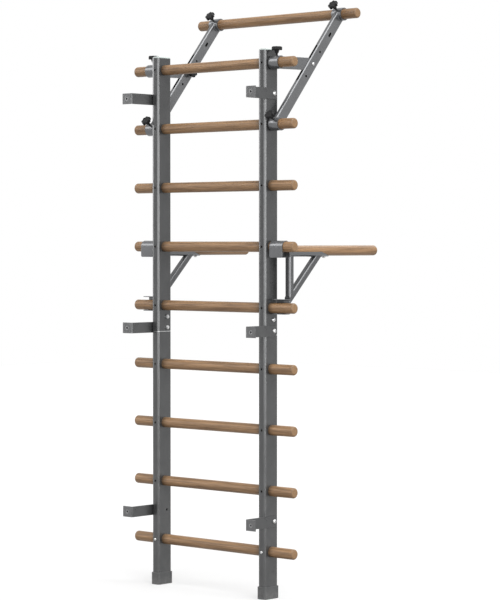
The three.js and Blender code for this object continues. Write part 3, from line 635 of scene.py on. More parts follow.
def barProfile(radius, length):
    profile = [(0, 0)]
    steps, soft = woodBar["endSteps"], woodBar["round"]
    end = []
    for step in range(steps + 1):
        angle = step / steps * quarter
        end.append((radius - soft * (1 - math.sin(angle)), soft * (1 - math.cos(angle))))
    profile += end
    profile += [(across, length - along) for across, along in reversed(end)]
    profile.append((0, length))
    return profile


def addWoodBar(node, body, axis, finish):
    low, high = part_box(node)
    middle = (low + high) / 2 / mm
    length = (high[axis] - low[axis]) / mm
    radius = (high.x - low.x if axis == 1 else high.z - low.z) / 2 / mm
    if axis == 1:
        place = at(middle.x, low.y / mm, middle.z, -quarter, "X")
    else:
        place = at(low.x / mm, middle.y, middle.z, quarter, "Y")
    bar = makePiece(node + ".wood", turned(barProfile(radius, length), woodBar["count"]), finish, place, soften=0)
    mount(bar, body, "wood", node)


for number in range(1, ladder["rungs"] + 1):
    addWoodBar(f"rung_{number}", "frame", 0, rungWood)
addWoodBar("pull_up_bar", "frame", 0, barWood)
for side in sides:
    addWoodBar(f"dip_bar_{side}", f"dip_handle_{side}", 1, barWood)
print("wooden bars made")


# Uprights: two tubes a side, pierced for rungs, screws and bolts

upright = {"width": 35.0, "depth": 70.0, "corner": 7.0, "stretch": 1.85, "wall": 2.0, "steps": 12, "soften": 0.45,
           "screwHole": 3.4, "deepHole": 4.2, "boltHole": 4.4, "boltFromAxis": 9.0}
boltLevels = {"upper": {"through": [1007.0, 967.0], "outer": [1820.0]}, "lower": {"through": [280.0], "outer": []}}


def addUpright(side, sign, half):
    node = f"{half}_upright_{side}"
    low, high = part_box(node)
    bottom, top = low.z / mm, high.z / mm
    tube = boxTube(upright["width"], upright["depth"], upright["corner"], upright["wall"], bottom, top, upright["steps"],
                   upright["stretch"])
    tools = []
    for number in range(1, ladder["rungs"] + 1):
        height = rungHeight(number)
        if bottom < height < top:
            tools.append(moved(rod(ladder["rungRadius"] + ladder["fit"], -40, 40, 64), at(0, 0, height) @ ontoX))
            screw = rod(upright["deepHole" if number < ladder["rungs"] else "screwHole"], 25, 60, 24)
            tools.append(moved(screw, at(0, 0, height, quarter, "X")))
    for height in boltLevels[half]["through"]:
        tools.append(moved(rod(upright["boltHole"], -30, 30, 24), at(0, upright["boltFromAxis"], height) @ ontoX))
    for height in boltLevels[half]["outer"]:
        outward = at(0, upright["boltFromAxis"], height, sign * quarter, "Y")
        tools.append(moved(rod(upright["boltHole"], 5, 30, 24), outward))
    place = at(sign * ladder["uprightX"], ladder["fromWall"], 0)
    piece = makePiece(node + ".tube", tube, frameCoat, place, [merged(*tools)], soften=upright["soften"],
                      lining=(upright["width"], upright["depth"], upright["corner"], upright["wall"], upright["stretch"]))
    mount(piece, "frame", "frame_steel", node)


for side, sign in sides.items():
    for half in ("upper", "lower"):
        addUpright(side, sign, half)
print("uprights made")


# Caps and feet

cap = {"lip": 1.5, "edge": 1.0, "rise": 5.0, "inset": 10.0, "plug": 14.0, "gap": 2.3, "steps": 8, "domeSteps": 9}
foot = {"wall": 3.8, "floor": 6.0, "height": 45.0, "edge": 1.5, "edgeSteps": 4, "steps": 10}


def capMesh():
    width, depth, corner = upright["width"], upright["depth"], upright["corner"]
    plug = (width - 2 * cap["gap"], depth - 2 * cap["gap"], corner - cap["gap"])
    dome = (width - 2 * cap["lip"], depth - 2 * cap["lip"], corner - cap["lip"])
    sections = [(*plug, -cap["plug"]), (*plug, 0), (*dome, 0)]
    for step in range(cap["domeSteps"] + 1):
        angle = step / cap["domeSteps"] * quarter
        draw = cap["inset"] * (1 - math.cos(angle))
        height = cap["edge"] + cap["rise"] * math.sin(angle)
        sections.append((dome[0] - 2 * draw, dome[1] - 2 * draw, dome[2] - draw / 2, height))
    return lofted(sections, cap["steps"])


def footMesh():
    width, depth = upright["width"] + 2 * foot["wall"], upright["depth"] + 2 * foot["wall"]
    corner = upright["corner"] + foot["wall"]
    sections = []
    for step in range(foot["edgeSteps"] + 1):
        angle = step / foot["edgeSteps"] * quarter
        draw = foot["edge"] * (1 - math.sin(angle))
        sections.append((width - 2 * draw, depth - 2 * draw, corner - draw, foot["edge"] * (1 - math.cos(angle))))
    sections += [(w, d, c, foot["height"] - z) for w, d, c, z in reversed(sections)]
    pocket = (upright["width"] + 2 * ladder["fit"], upright["depth"] + 2 * ladder["fit"], upright["corner"] + ladder["fit"])
    sections += [(*pocket, foot["height"]), (*pocket, foot["floor"])]
    return lofted(sections, foot["steps"])


for side, sign in sides.items():
    capNode, footNode = f"top_cap_{side}", f"foot_{side}"
    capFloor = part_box(capNode)[0].z / mm + cap["plug"]
    capPlace = at(sign * ladder["uprightX"], ladder["fromWall"], capFloor)
    capPiece = makePiece(capNode + ".lid", capMesh(), capPlastic, capPlace, soften=0.25)
    mount(capPiece, "frame", "cap_plastic", capNode)
    footPlace = at(sign * ladder["uprightX"], ladder["fromWall"], 0)
    footPiece = makePiece(footNode + ".boot", footMesh(), footRubber, footPlace, soften=0)
    mount(footPiece, "frame", "foot_rubber", footNode)
print("caps and feet made")


# Wall brackets of bent flat bar

bracket = {"height": 40.0, "thick": 4.0, "bend": 6.0, "tab": 48.0, "tabHole": 4.5, "tabHoleInset": 22.0,
           "reach": 160.0, "armHole": 4.4, "armHoleY": 149.0, "soften": 0.6, "plug": (-3.7, -2.5)}
bracketLevels = {"top": 1820.0, "middle": 967.0, "bottom": 280.0}


def bracketMesh():
    thick, bend = bracket["thick"], bracket["bend"]
    outline = arc(bend, bend, bend, math.pi, 3 * quarter)
    outline += [(bracket["tab"], 0), (bracket["tab"], thick)]
    outline += arc(bend, bend, bend - thick, 3 * quarter, math.pi)
    outline += [(thick, bracket["reach"]), (0, bracket["reach"])]
    return prism(outline, -bracket["height"] / 2, bracket["height"] / 2)


for side, sign in sides.items():
    for level, height in bracketLevels.items():
        node = f"wall_bracket_{side}_{level}"
        tabHole = moved(rod(bracket["tabHole"], -10, 10), at(bracket["tab"] - bracket["tabHoleInset"], 0, 0, quarter, "X"))
        armHole = moved(rod(bracket["armHole"], -10, 10), at(0, bracket["armHoleY"], 0) @ ontoX)
        flip = 0.0 if sign > 0 else math.pi
        place = at(sign * (ladder["outerFace"] + ladder["fit"]), 0, height, flip, "Y")
        piece = makePiece(node + ".bar", bracketMesh(), bracketCoat, place, [tabHole, armHole],
                          soften=bracket["soften"])
        mount(piece, "frame", "bracket_steel", node)
        plug = moved(rod(bracket["tabHole"] - ladder["fit"] / 2, *bracket["plug"]),
                     at(bracket["tab"] - bracket["tabHoleInset"], 0, 0, quarter, "X"))
        plugPiece = makePiece(node + ".plug", plug, knobPlastic, place, soften=0.2)
        attach(plugPiece, piece)
print("brackets made")


# Fasteners stand on Z: underside of the head at 0, shank below

bolt = {"shank": 4.0, "rise": 0.38, "steps": 9, "socketAcross": 5.0, "socketDepth": 3.2, "count": 40,
        "thread": 1.25, "threadDepth": 0.42}
nut = {"across": 13.0, "height": 7.0, "bore": 4.4}


def hexOutline(across):
    corner = across / 2 / math.cos(math.pi / 6)
    return [(corner * math.cos(step * math.pi / 3), corner * math.sin(step * math.pi / 3)) for step in range(6)]


def threadProfile(radius, low, high):
    profile = []
    height = low
    while height + bolt["thread"] <= high:
        profile += [(radius - bolt["threadDepth"], height), (radius, height + bolt["thread"] * 0.5)]
        height += bolt["thread"]
    profile.append((radius - bolt["threadDepth"], min(height, high)))
    return profile


def boltMesh(shankLength, headRadius):
    rise = 2 * headRadius * bolt["rise"]
    profile = [(0, -shankLength)] + threadProfile(bolt["shank"], -shankLength, 0)
    profile += [(bolt["shank"] - bolt["threadDepth"], 0), (headRadius - 0.3, 0), (headRadius, 0.3)]
    for step in range(1, bolt["steps"] + 1):
        angle = step / bolt["steps"] * quarter * 0.72
        profile.append((headRadius * math.cos(angle), 0.3 + (rise - 0.3) * math.sin(angle) / math.sin(quarter * 0.72)))
    profile.append((0, rise))
    return turned(profile, bolt["count"])


def addBolt(node, body, shankLength, headRadius, place):
    rise = 2 * headRadius * bolt["rise"]
    socket = prism(hexOutline(bolt["socketAcross"]), rise - bolt["socketDepth"], rise + 2)
    piece = makePiece(node + ".bolt", boltMesh(shankLength, headRadius), brightZinc, place, [socket], soften=0.15)
    mount(piece, body, "zinc", node)


def addNut(node, place):
    corner = nut["across"] / 2 / math.cos(math.pi / 6)
    half, flat = nut["height"] / 2, nut["across"] / 2
    profile = [(0, -half), (flat, -half), (corner, -half + 0.9), (corner, half - 0.9), (flat, half), (0, half)]
    piece = makePiece(node + ".nut", turned(profile, 48), brightZinc, place, [rod(nut["bore"], -9, 9)],
                      keep=prism(hexOutline(nut["across"]), -9, 9), soften=0)
    mount(piece, "frame", "zinc", node)


grip = bracket["thick"] + 2 * ladder["fit"]
boltY = ladder["fromWall"] + upright["boltFromAxis"]
throughShank = grip + upright["width"] + ladder["fit"] + nut["height"] + 3.0
shortShank = grip + upright["wall"] + 14.0
upperShank = upright["width"] + 2 * ladder["fit"] + nut["height"] + 3.0
for side, sign in sides.items():
    for level, height in bracketLevels.items():
        shankLength = throughShank if level == "middle" else shortShank
        place = at(sign * (ladder["outerFace"] + grip), boltY, height, sign * quarter, "Y")
        addBolt(f"bracket_bolt_{side}_{level}", "frame", shankLength, 8.0, place)
    place = at(sign * (ladder["outerFace"] + ladder["fit"]), boltY, 1007.0, sign * quarter, "Y")
    addBolt(f"splice_bolt_{side}", "frame", upperShank, 8.0, place)
    nutX = sign * (ladder["uprightX"] - upright["width"] / 2 - ladder["fit"] - nut["height"] / 2)
    for level, height in {"upper": 1007.0, "lower": 967.0}.items():
        addNut(f"splice_nut_{side}_{level}", at(nutX, boltY, height, sign * quarter, "Y"))

# Rung screws: two pan heads show at the lowest rung, the others sit deep in their holes

rungScrew = {"shank": 3.0, "length": 43.7, "head": 5.5, "top": 3.3, "rise": 3.0, "slot": 1.1, "slotLong": 5.2,
             "deepRadius": 3.7, "deepLength": 9.0, "deepProud": 2.5, "deepSocket": 4.0}


def screwHeadProfile():
    profile = [(0, -rungScrew["length"]), (rungScrew["shank"], -rungScrew["length"]), (rungScrew["shank"], 0)]
    profile.append((rungScrew["head"], 0))
    for step in range(1, 8):
        angle = step / 7 * quarter
        profile.append((rungScrew["top"] + (rungScrew["head"] - rungScrew["top"]) * math.cos(angle),
                        rungScrew["rise"] * math.sin(angle)))
    profile.append((0, rungScrew["rise"]))
    return profile


for side, sign in sides.items():
    node = f"rung_screw_{side}"
    reach, half = rungScrew["slotLong"] / 2, rungScrew["slot"] / 2
    cross = [(reach, -half), (reach, half), (half, half), (half, reach), (-half, reach), (-half, half),
             (-reach, half), (-reach, -half), (-half, -half), (-half, -reach), (half, -reach), (half, -half)]
    place = at(sign * ladder["uprightX"], ladder["fromWall"] - upright["depth"] / 2 - ladder["fit"], rungHeight(9),
               quarter, "X")
    piece = makePiece(node + ".screw", turned(screwHeadProfile(), 36), brightZinc, place,
                      [prism(cross, rungScrew["rise"] - 1.6, rungScrew["rise"] + 1)], soften=0.12)
    mount(piece, "frame", "zinc", node)
    for number in range(1, ladder["rungs"]):
        profile = [(0, -rungScrew["deepLength"]), (rungScrew["deepRadius"], -rungScrew["deepLength"]),
                   (rungScrew["deepRadius"], -0.4), (rungScrew["deepRadius"] - 0.4, 0), (0, 0)]
        deepPlace = at(sign * ladder["uprightX"], ladder["fromWall"] - ladder["rungRadius"] - rungScrew["deepProud"],
                       rungHeight(number), quarter, "X")
        deep = makePiece(f"deepScrew_{number}_{side}", turned(profile, 24), blackOxide, deepPlace,
                         [prism(hexOutline(rungScrew["deepSocket"]), -2.5, 1)], soften=0)
        mount(deep, "frame", "zinc")
print("fasteners made")


# Pull-up unit: sleeves, arms and links

sleeve = {"radius": 24.0, "bore": 19.5, "length": 44.0, "studHole": 4.4, "edge": 0.8, "x": 312.5}
arm = {"tilt": math.radians(39.8), "span": 542.0, "width": 18.0, "depth": 44.0, "corner": 5.5, "wall": 2.0,
       "hole": 4.4, "holePitch": 60.0, "boltAlong": 292.0, "oblongAlong": 438.0, "oblongLong": 20.0,
       "slotLong": 176.0, "slotWide": 9.0, "slotDrop": 13.0, "soften": 0.4}
link = {"height": 45.0, "thick": 7.5, "nose": 14.0, "soften": 0.6}


def sleeveMesh():
    half, edge = sleeve["length"] / 2, sleeve["edge"]
    outer, inner = sleeve["radius"], sleeve["bore"]
    profile = [(inner + 0.4, -half), (outer - edge, -half), (outer - edge * 0.3, -half + edge * 0.3), (outer, -half + edge)]
    profile += [(radius, -height) for radius, height in reversed(profile)]
    profile += [(inner, half - 0.4), (inner, -half + 0.4)]
    mesh = bmesh.new()
    rings = []
    for radius, height in profile:
        ring = []
        for step in range(64):
            angle = 2 * math.pi * step / 64
            ring.append(mesh.verts.new((radius * math.cos(angle), radius * math.sin(angle), height)))
        rings.append(ring)
    joinRings(mesh, rings, closed=True)
    return moved(mesh, ontoX)


def addSleeve(name, place, studTurn, parent):
    hole = moved(rod(sleeve["studHole"], 0, 40, 24), Matrix.Rotation(studTurn, 4, "X"))
    ring = makePiece(name, sleeveMesh(), armCoat, place, [hole], soften=0)
    return attach(ring, parent)


def addWeld(name, points, closed, place, parent):
    line = makePiece(name, bead(points, closed), armCoat, place, soften=0, smooth=80.0)
    return attach(line, parent)


def armWeld(fromEnd):
    loop = []
    outline = roundedOutline(arm["width"], arm["depth"], arm["corner"], 6)
    closed = [*outline, outline[0]]
    for point in spread([(x, y, 0) for x, y in closed])[:-1]:
        rise = math.sqrt(sleeve["radius"] ** 2 - point.y ** 2)
        loop.append((point.x, point.y, rise if fromEnd == 0 else fromEnd - rise))
    return loop


def addArm(side, sign):
    node = f"pull_up_arm_{side}"
    place = at(sign * sleeve["x"], ladder["fromWall"], rungHeight(2), -arm["tilt"], "X")
    tube = boxTube(arm["width"], arm["depth"], arm["corner"], arm["wall"], 0, arm["span"], 6)
    tools = [moved(rod(sleeve["bore"], -30, 30, 64), at(0, 0, end) @ ontoX) for end in (0, arm["span"])]
    for step in (-1, 0, 1):
        along = arm["boltAlong"] + step * arm["holePitch"]
        tools.append(moved(rod(arm["hole"], -20, 20, 28), at(0, 0, along) @ ontoX))
    oblong = prism(roundedOutline(arm["oblongLong"], 2 * arm["hole"], arm["hole"] - 0.05, 8), -20, 20)
    tools.append(moved(oblong, at(0, 0, arm["oblongAlong"]) @ ontoX))
    slot = prism(roundedOutline(arm["slotWide"], arm["slotLong"], arm["slotWide"] / 2 - 0.05, 8), 14, 30)
    tools.append(moved(slot, at(0, 0, arm["boltAlong"] - arm["slotDrop"], quarter, "X")))
    piece = makePiece(node + ".tube", tube, armCoat, place, [merged(*tools)], soften=arm["soften"],
                      lining=(arm["width"], arm["depth"], arm["corner"], arm["wall"]))
    mount(piece, "frame", "bracket_steel", node)
    for label, along in (("lower", 0), ("upper", arm["span"])):
        addSleeve(f"{label}Sleeve_{side}", place @ at(0, 0, along), quarter, piece)
        addWeld(f"{label}SleeveWeld_{side}", armWeld(along), True, place, piece)
    return place


def linkOutline(length, slope):
    lean = quarter - arm["tilt"] - slope
    wide, backFace = link["height"] / 2, arm["depth"] / 2 + ladder["fit"]
    upperEnd = length + (wide * math.cos(lean) - backFace) / math.sin(lean)
    lowerEnd = length + (-wide * math.cos(lean) - backFace) / math.sin(lean)
    outline = [(sleeve["bore"], -wide), (lowerEnd, -wide)]
    outline += arc(length, 0, link["nose"], -quarter, quarter, 20)
    return outline + [(upperEnd, wide), (sleeve["bore"], wide)]


def addLink(side, sign):
    node = f"pull_up_link_{side}"
    boltOut = arm["boltAlong"] * math.sin(arm["tilt"])
    boltUp = arm["boltAlong"] * math.cos(arm["tilt"]) - ladder["pitch"]
    length, slope = math.hypot(boltOut, boltUp), math.atan2(boltUp, boltOut)
    place = at(sign * sleeve["x"], ladder["fromWall"], rungHeight(1), slope, "X")
    half = link["thick"] / 2
    plate = moved(prism(linkOutline(length, slope), -half, half), sideways)
    boltHole = moved(rod(upright["boltHole"], -20, 20, 28), at(0, length, 0) @ ontoX)
    piece = makePiece(node + ".plate", plate, armCoat, place, [boltHole], soften=link["soften"])
    mount(piece, "frame", "bracket_steel", node)
    addSleeve(f"linkSleeve_{side}", place, -slope, piece)
    for edge, x in (("inner", -sign * half), ("outer", sign * half)):
        line = []
        for step in range(41):
            z = (step / 20 - 1) * (link["height"] / 2 - 1)
            line.append((x, math.sqrt(sleeve["radius"] ** 2 - z ** 2), z))
        addWeld(f"linkWeld_{edge}_{side}", line, False, place, piece)


# Star knobs with a tapered hub and a threaded stud

knob = {"radius": 19.4, "height": 13.0, "lobes": 7, "lobeDepth": 3.5, "lobeSteps": 18, "edge": 2.2, "topEdge": 3.6,
        "hubWide": 9.5, "hubNarrow": 6.0, "hubLong": 11.0, "stud": 4.0, "studShow": 9.0, "dish": 0.8}


def knobProfile():
    outer, edge, tall = knob["radius"], knob["edge"], knob["height"]
    profile = [(0, 0), (0.5, 0), (outer - edge - 3, 0), (outer - edge, 0)]
    for step in range(1, 6):
        angle = step / 6 * quarter
        profile.append((outer - edge * (1 - math.sin(angle)), edge * (1 - math.cos(angle))))
    profile += [(outer, edge), (outer, tall / 2), (outer, tall - knob["topEdge"])]
    for step in range(1, 7):
        angle = step / 6 * quarter
        profile.append((outer - knob["topEdge"] * (1 - math.cos(angle)), tall - knob["topEdge"] * (1 - math.sin(angle))))
    profile += [(11.5, tall), (10.8, tall - knob["dish"]), (4.6, tall - knob["dish"]), (4.0, tall - 0.2), (0.5, tall), (0, tall)]
    return profile


def starMesh(bottom):
    mesh = bmesh.new()
    count = knob["lobes"] * knob["lobeSteps"]
    rings = []
    for radius, height in knobProfile():
        if radius == 0:
            rings.append([mesh.verts.new((0, 0, bottom + height))])
            continue
        hold = min(1.0, max(0.0, (radius - 12.0) / (knob["radius"] - knob["edge"] - 13.0)))
        ring = []
        for step in range(count):
            angle = 2 * math.pi * step / count
            dent = knob["lobeDepth"] * hold * (1 - math.cos(knob["lobes"] * angle)) / 2
            ring.append(mesh.verts.new(((radius - dent) * math.cos(angle), (radius - dent) * math.sin(angle), bottom + height)))
        rings.append(ring)
    joinRings(mesh, rings)
    return mesh


def addKnob(node, place, seat, bored):
    body = node + "_body"
    under = seat + knob["hubLong"]
    starBore = [moved(rod(upright["boltHole"], under - 1, under + knob["height"] / 2 + 0.4, 24), place)] if bored else []
    star = makePiece(node + ".star", moved(starMesh(under), place), knobPlastic, Matrix(), starBore, soften=0)
    mount(star, body, "knob_plastic", node)
    hubTop = under + 0.5
    hubProfile = [(0, seat), (knob["hubNarrow"] - 0.5, seat), (knob["hubNarrow"], seat + 0.5)]
    hubProfile += [(knob["hubWide"] - 0.8, under - 1.6), (knob["hubWide"] + 0.6, hubTop), (0, hubTop)]
    hubBore = [rod(upright["boltHole"], seat - 2, hubTop + 2, 24)] if bored else []
    hub = makePiece(node + ".hub", turned(hubProfile, 40), knobPlastic, place, hubBore, soften=0.3)
    attach(hub, star)
    if not bored:
        tip = ladder["rungRadius"] + ladder["fit"]
        profile = [(0, tip), (knob["stud"] - 0.9, tip)] + threadProfile(knob["stud"], tip + 0.4, seat + 0.6)
        stud = makePiece(node + ".stud", turned(profile + [(0, seat + 0.8)], 32), blackOxide, place, soften=0, smooth=25.0)
        attach(stud, star)


clampSeat = sleeve["radius"] + knob["studShow"]
for side, sign in sides.items():
    armPlace = addArm(side, sign)
    addLink(side, sign)
    addKnob(f"arm_knob_{side}", armPlace @ Matrix.Rotation(quarter, 4, "X"), clampSeat, False)
    addKnob(f"bar_knob_{side}", armPlace @ at(0, 0, arm["span"], quarter, "X"), clampSeat, False)
    addKnob(f"link_sleeve_knob_{side}", at(sign * sleeve["x"], ladder["fromWall"], rungHeight(1)), clampSeat, False)
    innerFace = armPlace @ at(-sign * arm["width"] / 2, 0, arm["boltAlong"], -sign * quarter, "Y")
    addKnob(f"link_knob_{side}", innerFace, ladder["fit"], True)
    linkShank = arm["width"] + 2 * ladder["fit"] + knob["hubLong"] + knob["height"] / 2 - 0.4
    outerFace = armPlace @ at(sign * (arm["width"] / 2 + ladder["fit"]), 0, arm["boltAlong"], sign * quarter, "Y")
    addBolt(f"link_bolt_{side}", "frame", linkShank, 6.5, outerFace)
print("pull-up unit made")


# Dip handles, drawn about the axis of the fourth rung

dip = {"x": 326.5, "rung": 4, "forkRung": 5, "width": 62.0, "plate": 3.0, "bend": 6.0, "hookDrop": 39.0,
       "forkRise": 32.5, "forkBite": 10.0, "spacerTall": 18.0, "spacerInset": 1.2, "spacerBite": 1.5, "post": 25.0, "postSlack": 0.3, "postCorner": 6.5, "postReach": 53.0,
       "barDrop": 14.0, "troughIn": 19.3, "troughWall": 3.0, "rim": 4.5, "troughEnd": 260.0, "scoop": 55.0,
       "boltReach": 241.0, "boltDepth": 24.0, "soften": 0.6, "archSteps": 32, "flangeCorner": 6.0}


def hookOutline():
    inner = ladder["rungRadius"] + ladder["slip"]
    outer = inner + dip["plate"]
    outline = [(-outer, -dip["hookDrop"]), (-inner, -dip["hookDrop"])]
    outline += arc(0, 0, inner, math.pi, 0, dip["archSteps"])
    outline += [(inner, -dip["hookDrop"]), (outer, -dip["hookDrop"])]
    return outline + arc(0, 0, outer, 0, math.pi, dip["archSteps"])


# Rounds the corners of a flange that hangs from the rung

def flangeTrim():
    tall = dip["hookDrop"] + 2 * dip["width"]
    slab = prism(roundedOutline(dip["width"], tall, dip["flangeCorner"], 6), -dip["width"], dip["width"])
    return moved(slab, at(0, 0, tall / 2 - dip["hookDrop"], quarter, "X"))


def forkOutline():
    inFront = ladder["rungRadius"] + ladder["slip"]
    outFront = inFront + dip["plate"]
    floor, roof = -inFront, dip["forkRise"] - dip["plate"]
    tight, wide = dip["bend"] - dip["plate"], dip["bend"]
    outline = [(-dip["forkBite"], floor - dip["plate"])]
    outline += arc(outFront - wide, floor - dip["plate"] + wide, wide, -quarter, 0)
    outline += arc(outFront - wide, dip["forkRise"] - wide, wide, 0, quarter)
    outline += [(-dip["forkBite"], dip["forkRise"]), (-dip["forkBite"], roof)]
    outline += arc(inFront - tight, roof - tight, tight, quarter, 0)
    outline += arc(inFront - tight, floor + tight, tight, 0, -quarter)
    return outline + [(-dip["forkBite"], floor)]


def slantedBar(size, bottomOf, topOf):
    mesh = bmesh.new()
    outline = roundedOutline(size, size, dip["postCorner"], 6)
    bottom = [mesh.verts.new(bottomOf(x, y)) for x, y in outline]
    top = [mesh.verts.new(topOf(x, y)) for x, y in outline]
    joinRings(mesh, [bottom, top])
    mesh.faces.new(bottom)
    mesh.faces.new(top)
    return mesh


def saddle(centreY, halfLong):
    loop = []
    outline = roundedOutline(dip["post"], 2 * halfLong, dip["postCorner"], 6)
    for point in spread([(x, y, 0) for x, y in [*outline, outline[0]]])[:-1]:
        drop = math.sqrt((dip["troughIn"] + dip["troughWall"]) ** 2 - point.x ** 2)
        loop.append((point.x, centreY + point.y, -dip["barDrop"] - drop - 0.4))
    return loop


def addDipHandle(side, sign):
    body, node = f"dip_handle_{side}", f"dip_frame_{side}"
    place = at(sign * dip["x"], ladder["fromWall"], rungHeight(dip["rung"]))
    half = dip["width"] / 2
    hookFront = ladder["rungRadius"] + ladder["slip"] + dip["plate"]
    forkLevel = (dip["rung"] - dip["forkRung"]) * ladder["pitch"]
    barBore = moved(rod(dip["troughIn"], hookFront, dip["troughEnd"] + 60, 64),
                    at(0, 0, -dip["barDrop"], -quarter, "X"))
    hook = makePiece(node + ".hook", moved(prism(hookOutline(), -half, half), sideways), armCoat, place,
                     keep=flangeTrim(), soften=dip["soften"])
    mount(hook, body, "bracket_steel", node)

    def weldedOn(name, mesh, cuts=(), soften=dip["soften"], finish=armCoat):
        piece = makePiece(f"{name}_{side}", mesh, finish, place, cuts, soften=soften)
        return attach(piece, hook)

    weldedOn("dipFork", moved(prism(forkOutline(), -half, half), at(0, 0, forkLevel) @ sideways))
    outer, start = dip["troughIn"] + dip["troughWall"], hookFront - 1.5
    pipe = moved(rod(outer, start, dip["troughEnd"], 64), at(0, 0, -dip["barDrop"], -quarter, "X"))
    rim = -dip["barDrop"] - dip["rim"]
    slope = math.atan2(dip["troughIn"] + dip["troughWall"] / 2 - dip["rim"], dip["scoop"])
    scoop = moved(block(-60, 60, 0, 200, 0, 80), at(0, dip["troughEnd"] - dip["scoop"], rim, -slope, "X"))
    boltHole = moved(rod(upright["boltHole"], -60, -30, 28), at(0, dip["boltReach"], 0))
    weldedOn("dipTrough", pipe, [barBore, block(-60, 60, 0, 400, rim, 60), scoop, boltHole])

    postTop = -dip["barDrop"] - dip["troughIn"]
    braceFoot = forkLevel + dip["forkRise"]
    back, front = dip["postReach"] - dip["post"] / 2, dip["postReach"] + dip["post"] / 2
    axisZ = braceFoot + dip["post"] / 2 * math.sqrt(2)
    lean = math.sqrt(0.5)

    def onBrace(x, p, along):
        return (x, front + (along + p) * lean, axisZ + (along - p) * lean)

    weldedOn("dipBrace", slantedBar(dip["post"], lambda x, p: onBrace(x, p, (back - front) / lean - p),
                                    lambda x, p: onBrace(x, p, (postTop - axisZ) / lean + p)),
             soften=0.3, finish=shadedPostCoat)
    slim = dip["post"] - dip["postSlack"]  # so that post and brace share no plane
    weldedOn("dipPost", slantedBar(slim, lambda x, q: (x, dip["postReach"] + q, axisZ + dip["postReach"] + q - front),
                                   lambda x, q: (x, dip["postReach"] + q, postTop)),
             soften=0.3, finish=shadedPostCoat)
    spacerTop = braceFoot - dip["plate"]
    spacerSide = dip["post"] / 2 - dip["spacerInset"]
    weldedOn("dipSpacer", block(-spacerSide, spacerSide, hookFront - dip["spacerBite"], back + dip["spacerBite"],
                                spacerTop - dip["spacerTall"], spacerTop))
    braceTopY = front + postTop - axisZ
    addWeld(f"dipPostWeld_{side}", saddle(dip["postReach"], dip["post"] / 2), True, place, hook)
    addWeld(f"dipBraceWeld_{side}", saddle(braceTopY, dip["post"] / math.sqrt(2)), True, place, hook)
    collar = []
    rimTurn = math.asin(dip["rim"] / outer)
    for step in range(61):
        angle = math.pi + rimTurn + (math.pi - 2 * rimTurn) * step / 60
        collar.append((outer * math.cos(angle), hookFront, -dip["barDrop"] + outer * math.sin(angle)))
    addWeld(f"dipTroughWeld_{side}", [p for p in collar if p[2] > -dip["hookDrop"] + 2], False, place, hook)
    inside = axisZ + dip["post"] / 2 * math.sqrt(2)
    flat = dip["post"] / 2 - dip["postCorner"] + 1
    addWeld(f"dipBraceFootWeld_{side}", spread([(-flat, front, inside), (flat, front, inside)]), False, place, hook)
    under = -dip["barDrop"] - ladder["rungRadius"] - 2 * ladder["fit"] - dip["troughWall"]
    shankLength = dip["troughWall"] + 2 * ladder["fit"] + dip["boltDepth"] - 0.4
    addBolt(f"dip_bolt_{side}", body, shankLength, 6.5, place @ at(0, dip["boltReach"], under, math.pi, "X"))


for side, sign in sides.items():
    addDipHandle(side, sign)
print("dip handles made")

# The splices stay as solids and take the zinc finish
for side in sides:
    splice = nodes[f"splice_{side}"]
    splice.data.materials.clear()
    splice.data.materials.append(brightZinc)


# Floor, light and camera

studio = {
    "floorSize": 24.0, "floorColour": 0.30, "floorGlow": 0.485, "worldLight": 0.40,
    "frontRow": {"count": 13, "from": -9.0, "to": 115.0, "height": 2.4, "strength": 0.145, "gain": 0.14, "angle": 14.0},
    "leftRow": {"count": 4, "from": -57.0, "to": -96.0, "height": 6.0, "strength": 0.17, "gain": 0.0, "angle": 12.0},
    "top": {"strength": 5.0, "angle": 68.0, "turn": (31.0, 0.0, 75.0)},
    "panel": {"strength": 0.7, "angle": 28.0, "turn": (61.0, 0.0, -48.0)},
    "room": {"strength": 1.1, "angle": 50.0, "turn": (58.0, 0.0, 195.0)},
}


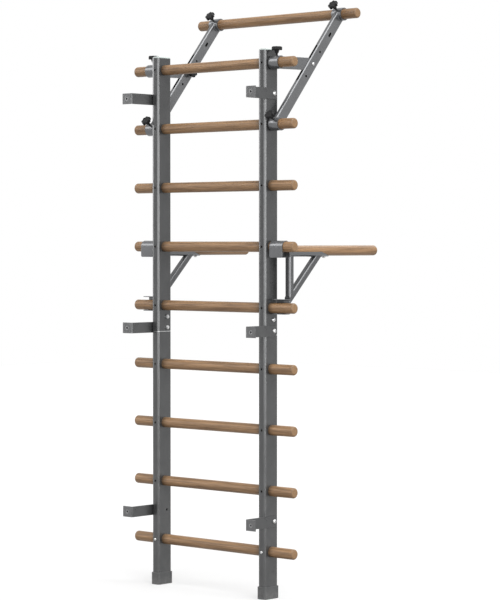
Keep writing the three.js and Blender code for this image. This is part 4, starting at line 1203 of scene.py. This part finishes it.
def addFloor():
    mesh = bmesh.new()
    half = studio["floorSize"] / 2
    corners = [mesh.verts.new((x, y, 0)) for x, y in ((-half, -half), (half, -half), (half, half), (-half, half))]
    mesh.faces.new(corners)
    data = bpy.data.meshes.new("studioFloor")
    mesh.to_mesh(data)
    mesh.free()
    floor = bpy.data.objects.new("studioFloor", data)
    scene.collection.objects.link(floor)
    material, tree, shader = newMaterial("paleFloor")
    pale = studio["floorColour"]
    paths = addNode(tree, "LightPath").outputs
    seen = mathNode(tree, "MAXIMUM", paths["Is Camera Ray"], paths["Is Glossy Ray"])
    seen = mathNode(tree, "MAXIMUM", seen, paths["Is Transmission Ray"])
    cloud = noise(tree, addNode(tree, "NewGeometry").outputs["Position"], 1.4, 4.0, 0.6)
    feed(tree, shader.inputs["Base Color"], mixColour(tree, cloud, (pale, pale, pale, 1), (pale - 0.02,) * 3 + (1,)))
    shader.inputs["Roughness"].default_value = 0.9
    shader.inputs["Specular IOR Level"].default_value = 0.0
    shader.inputs["Emission Color"].default_value = (1, 1, 1, 1)
    feed(tree, shader.inputs["Emission Strength"], mathNode(tree, "MULTIPLY", seen, studio["floorGlow"]))
    data.materials.append(material)


def addWorld():
    world = bpy.data.worlds.new("studioWorld")
    scene.world = world
    world.use_nodes = True
    tree = world.node_tree
    tree.nodes.clear()
    paths = addNode(tree, "LightPath").outputs
    seen = mathNode(tree, "MAXIMUM", paths["Is Camera Ray"], paths["Is Glossy Ray"])
    seen = mathNode(tree, "MAXIMUM", seen, paths["Is Transmission Ray"])
    strength = mapRange(tree, seen, 0.0, 1.0, studio["worldLight"], 1.0)
    light = addNode(tree, "Background", {"Color": (1, 1, 1, 1), "Strength": strength})
    output = addNode(tree, "OutputWorld")
    tree.links.new(light.outputs[0], output.inputs["Surface"])


def addLamp(name, strength, angle, turn):
    data = bpy.data.lights.new(name, "SUN")
    data.energy, data.angle = strength, math.radians(angle)
    lamp = bpy.data.objects.new(name, data)
    lamp.rotation_euler = [math.radians(value) for value in turn]
    scene.collection.objects.link(lamp)


addFloor()
addWorld()
for lampName in ("top", "panel", "room"):
    addLamp(lampName + "Lamp", **studio[lampName])
for rowName in ("frontRow", "leftRow"):  # low rows of lamps draw a bright line down the tubes' rounded corners
    row = studio[rowName]
    for step in range(row["count"]):
        share = step / (row["count"] - 1)
        swing = row["from"] + (row["to"] - row["from"]) * share
        strength = row["strength"] + row["gain"] * share
        addLamp(f"{rowName}_{step + 1}", strength, row["angle"], (90 - row["height"], 0, swing))

view = {"place": (5.8166, -5.9729, 1.2890), "tip": 1.461, "turn": 42.67, "lens": 137.56, "sensor": 36.0}
cameraData = bpy.data.cameras.new("photoCamera")
cameraData.lens, cameraData.sensor_width = view["lens"], view["sensor"]
camera = bpy.data.objects.new("photoCamera", cameraData)
camera.location = view["place"]
camera.rotation_euler = (math.radians(90 - view["tip"]), 0, math.radians(view["turn"]))
scene.collection.objects.link(camera)
scene.camera = camera
scene.view_settings.view_transform = "Standard"
print("studio set")
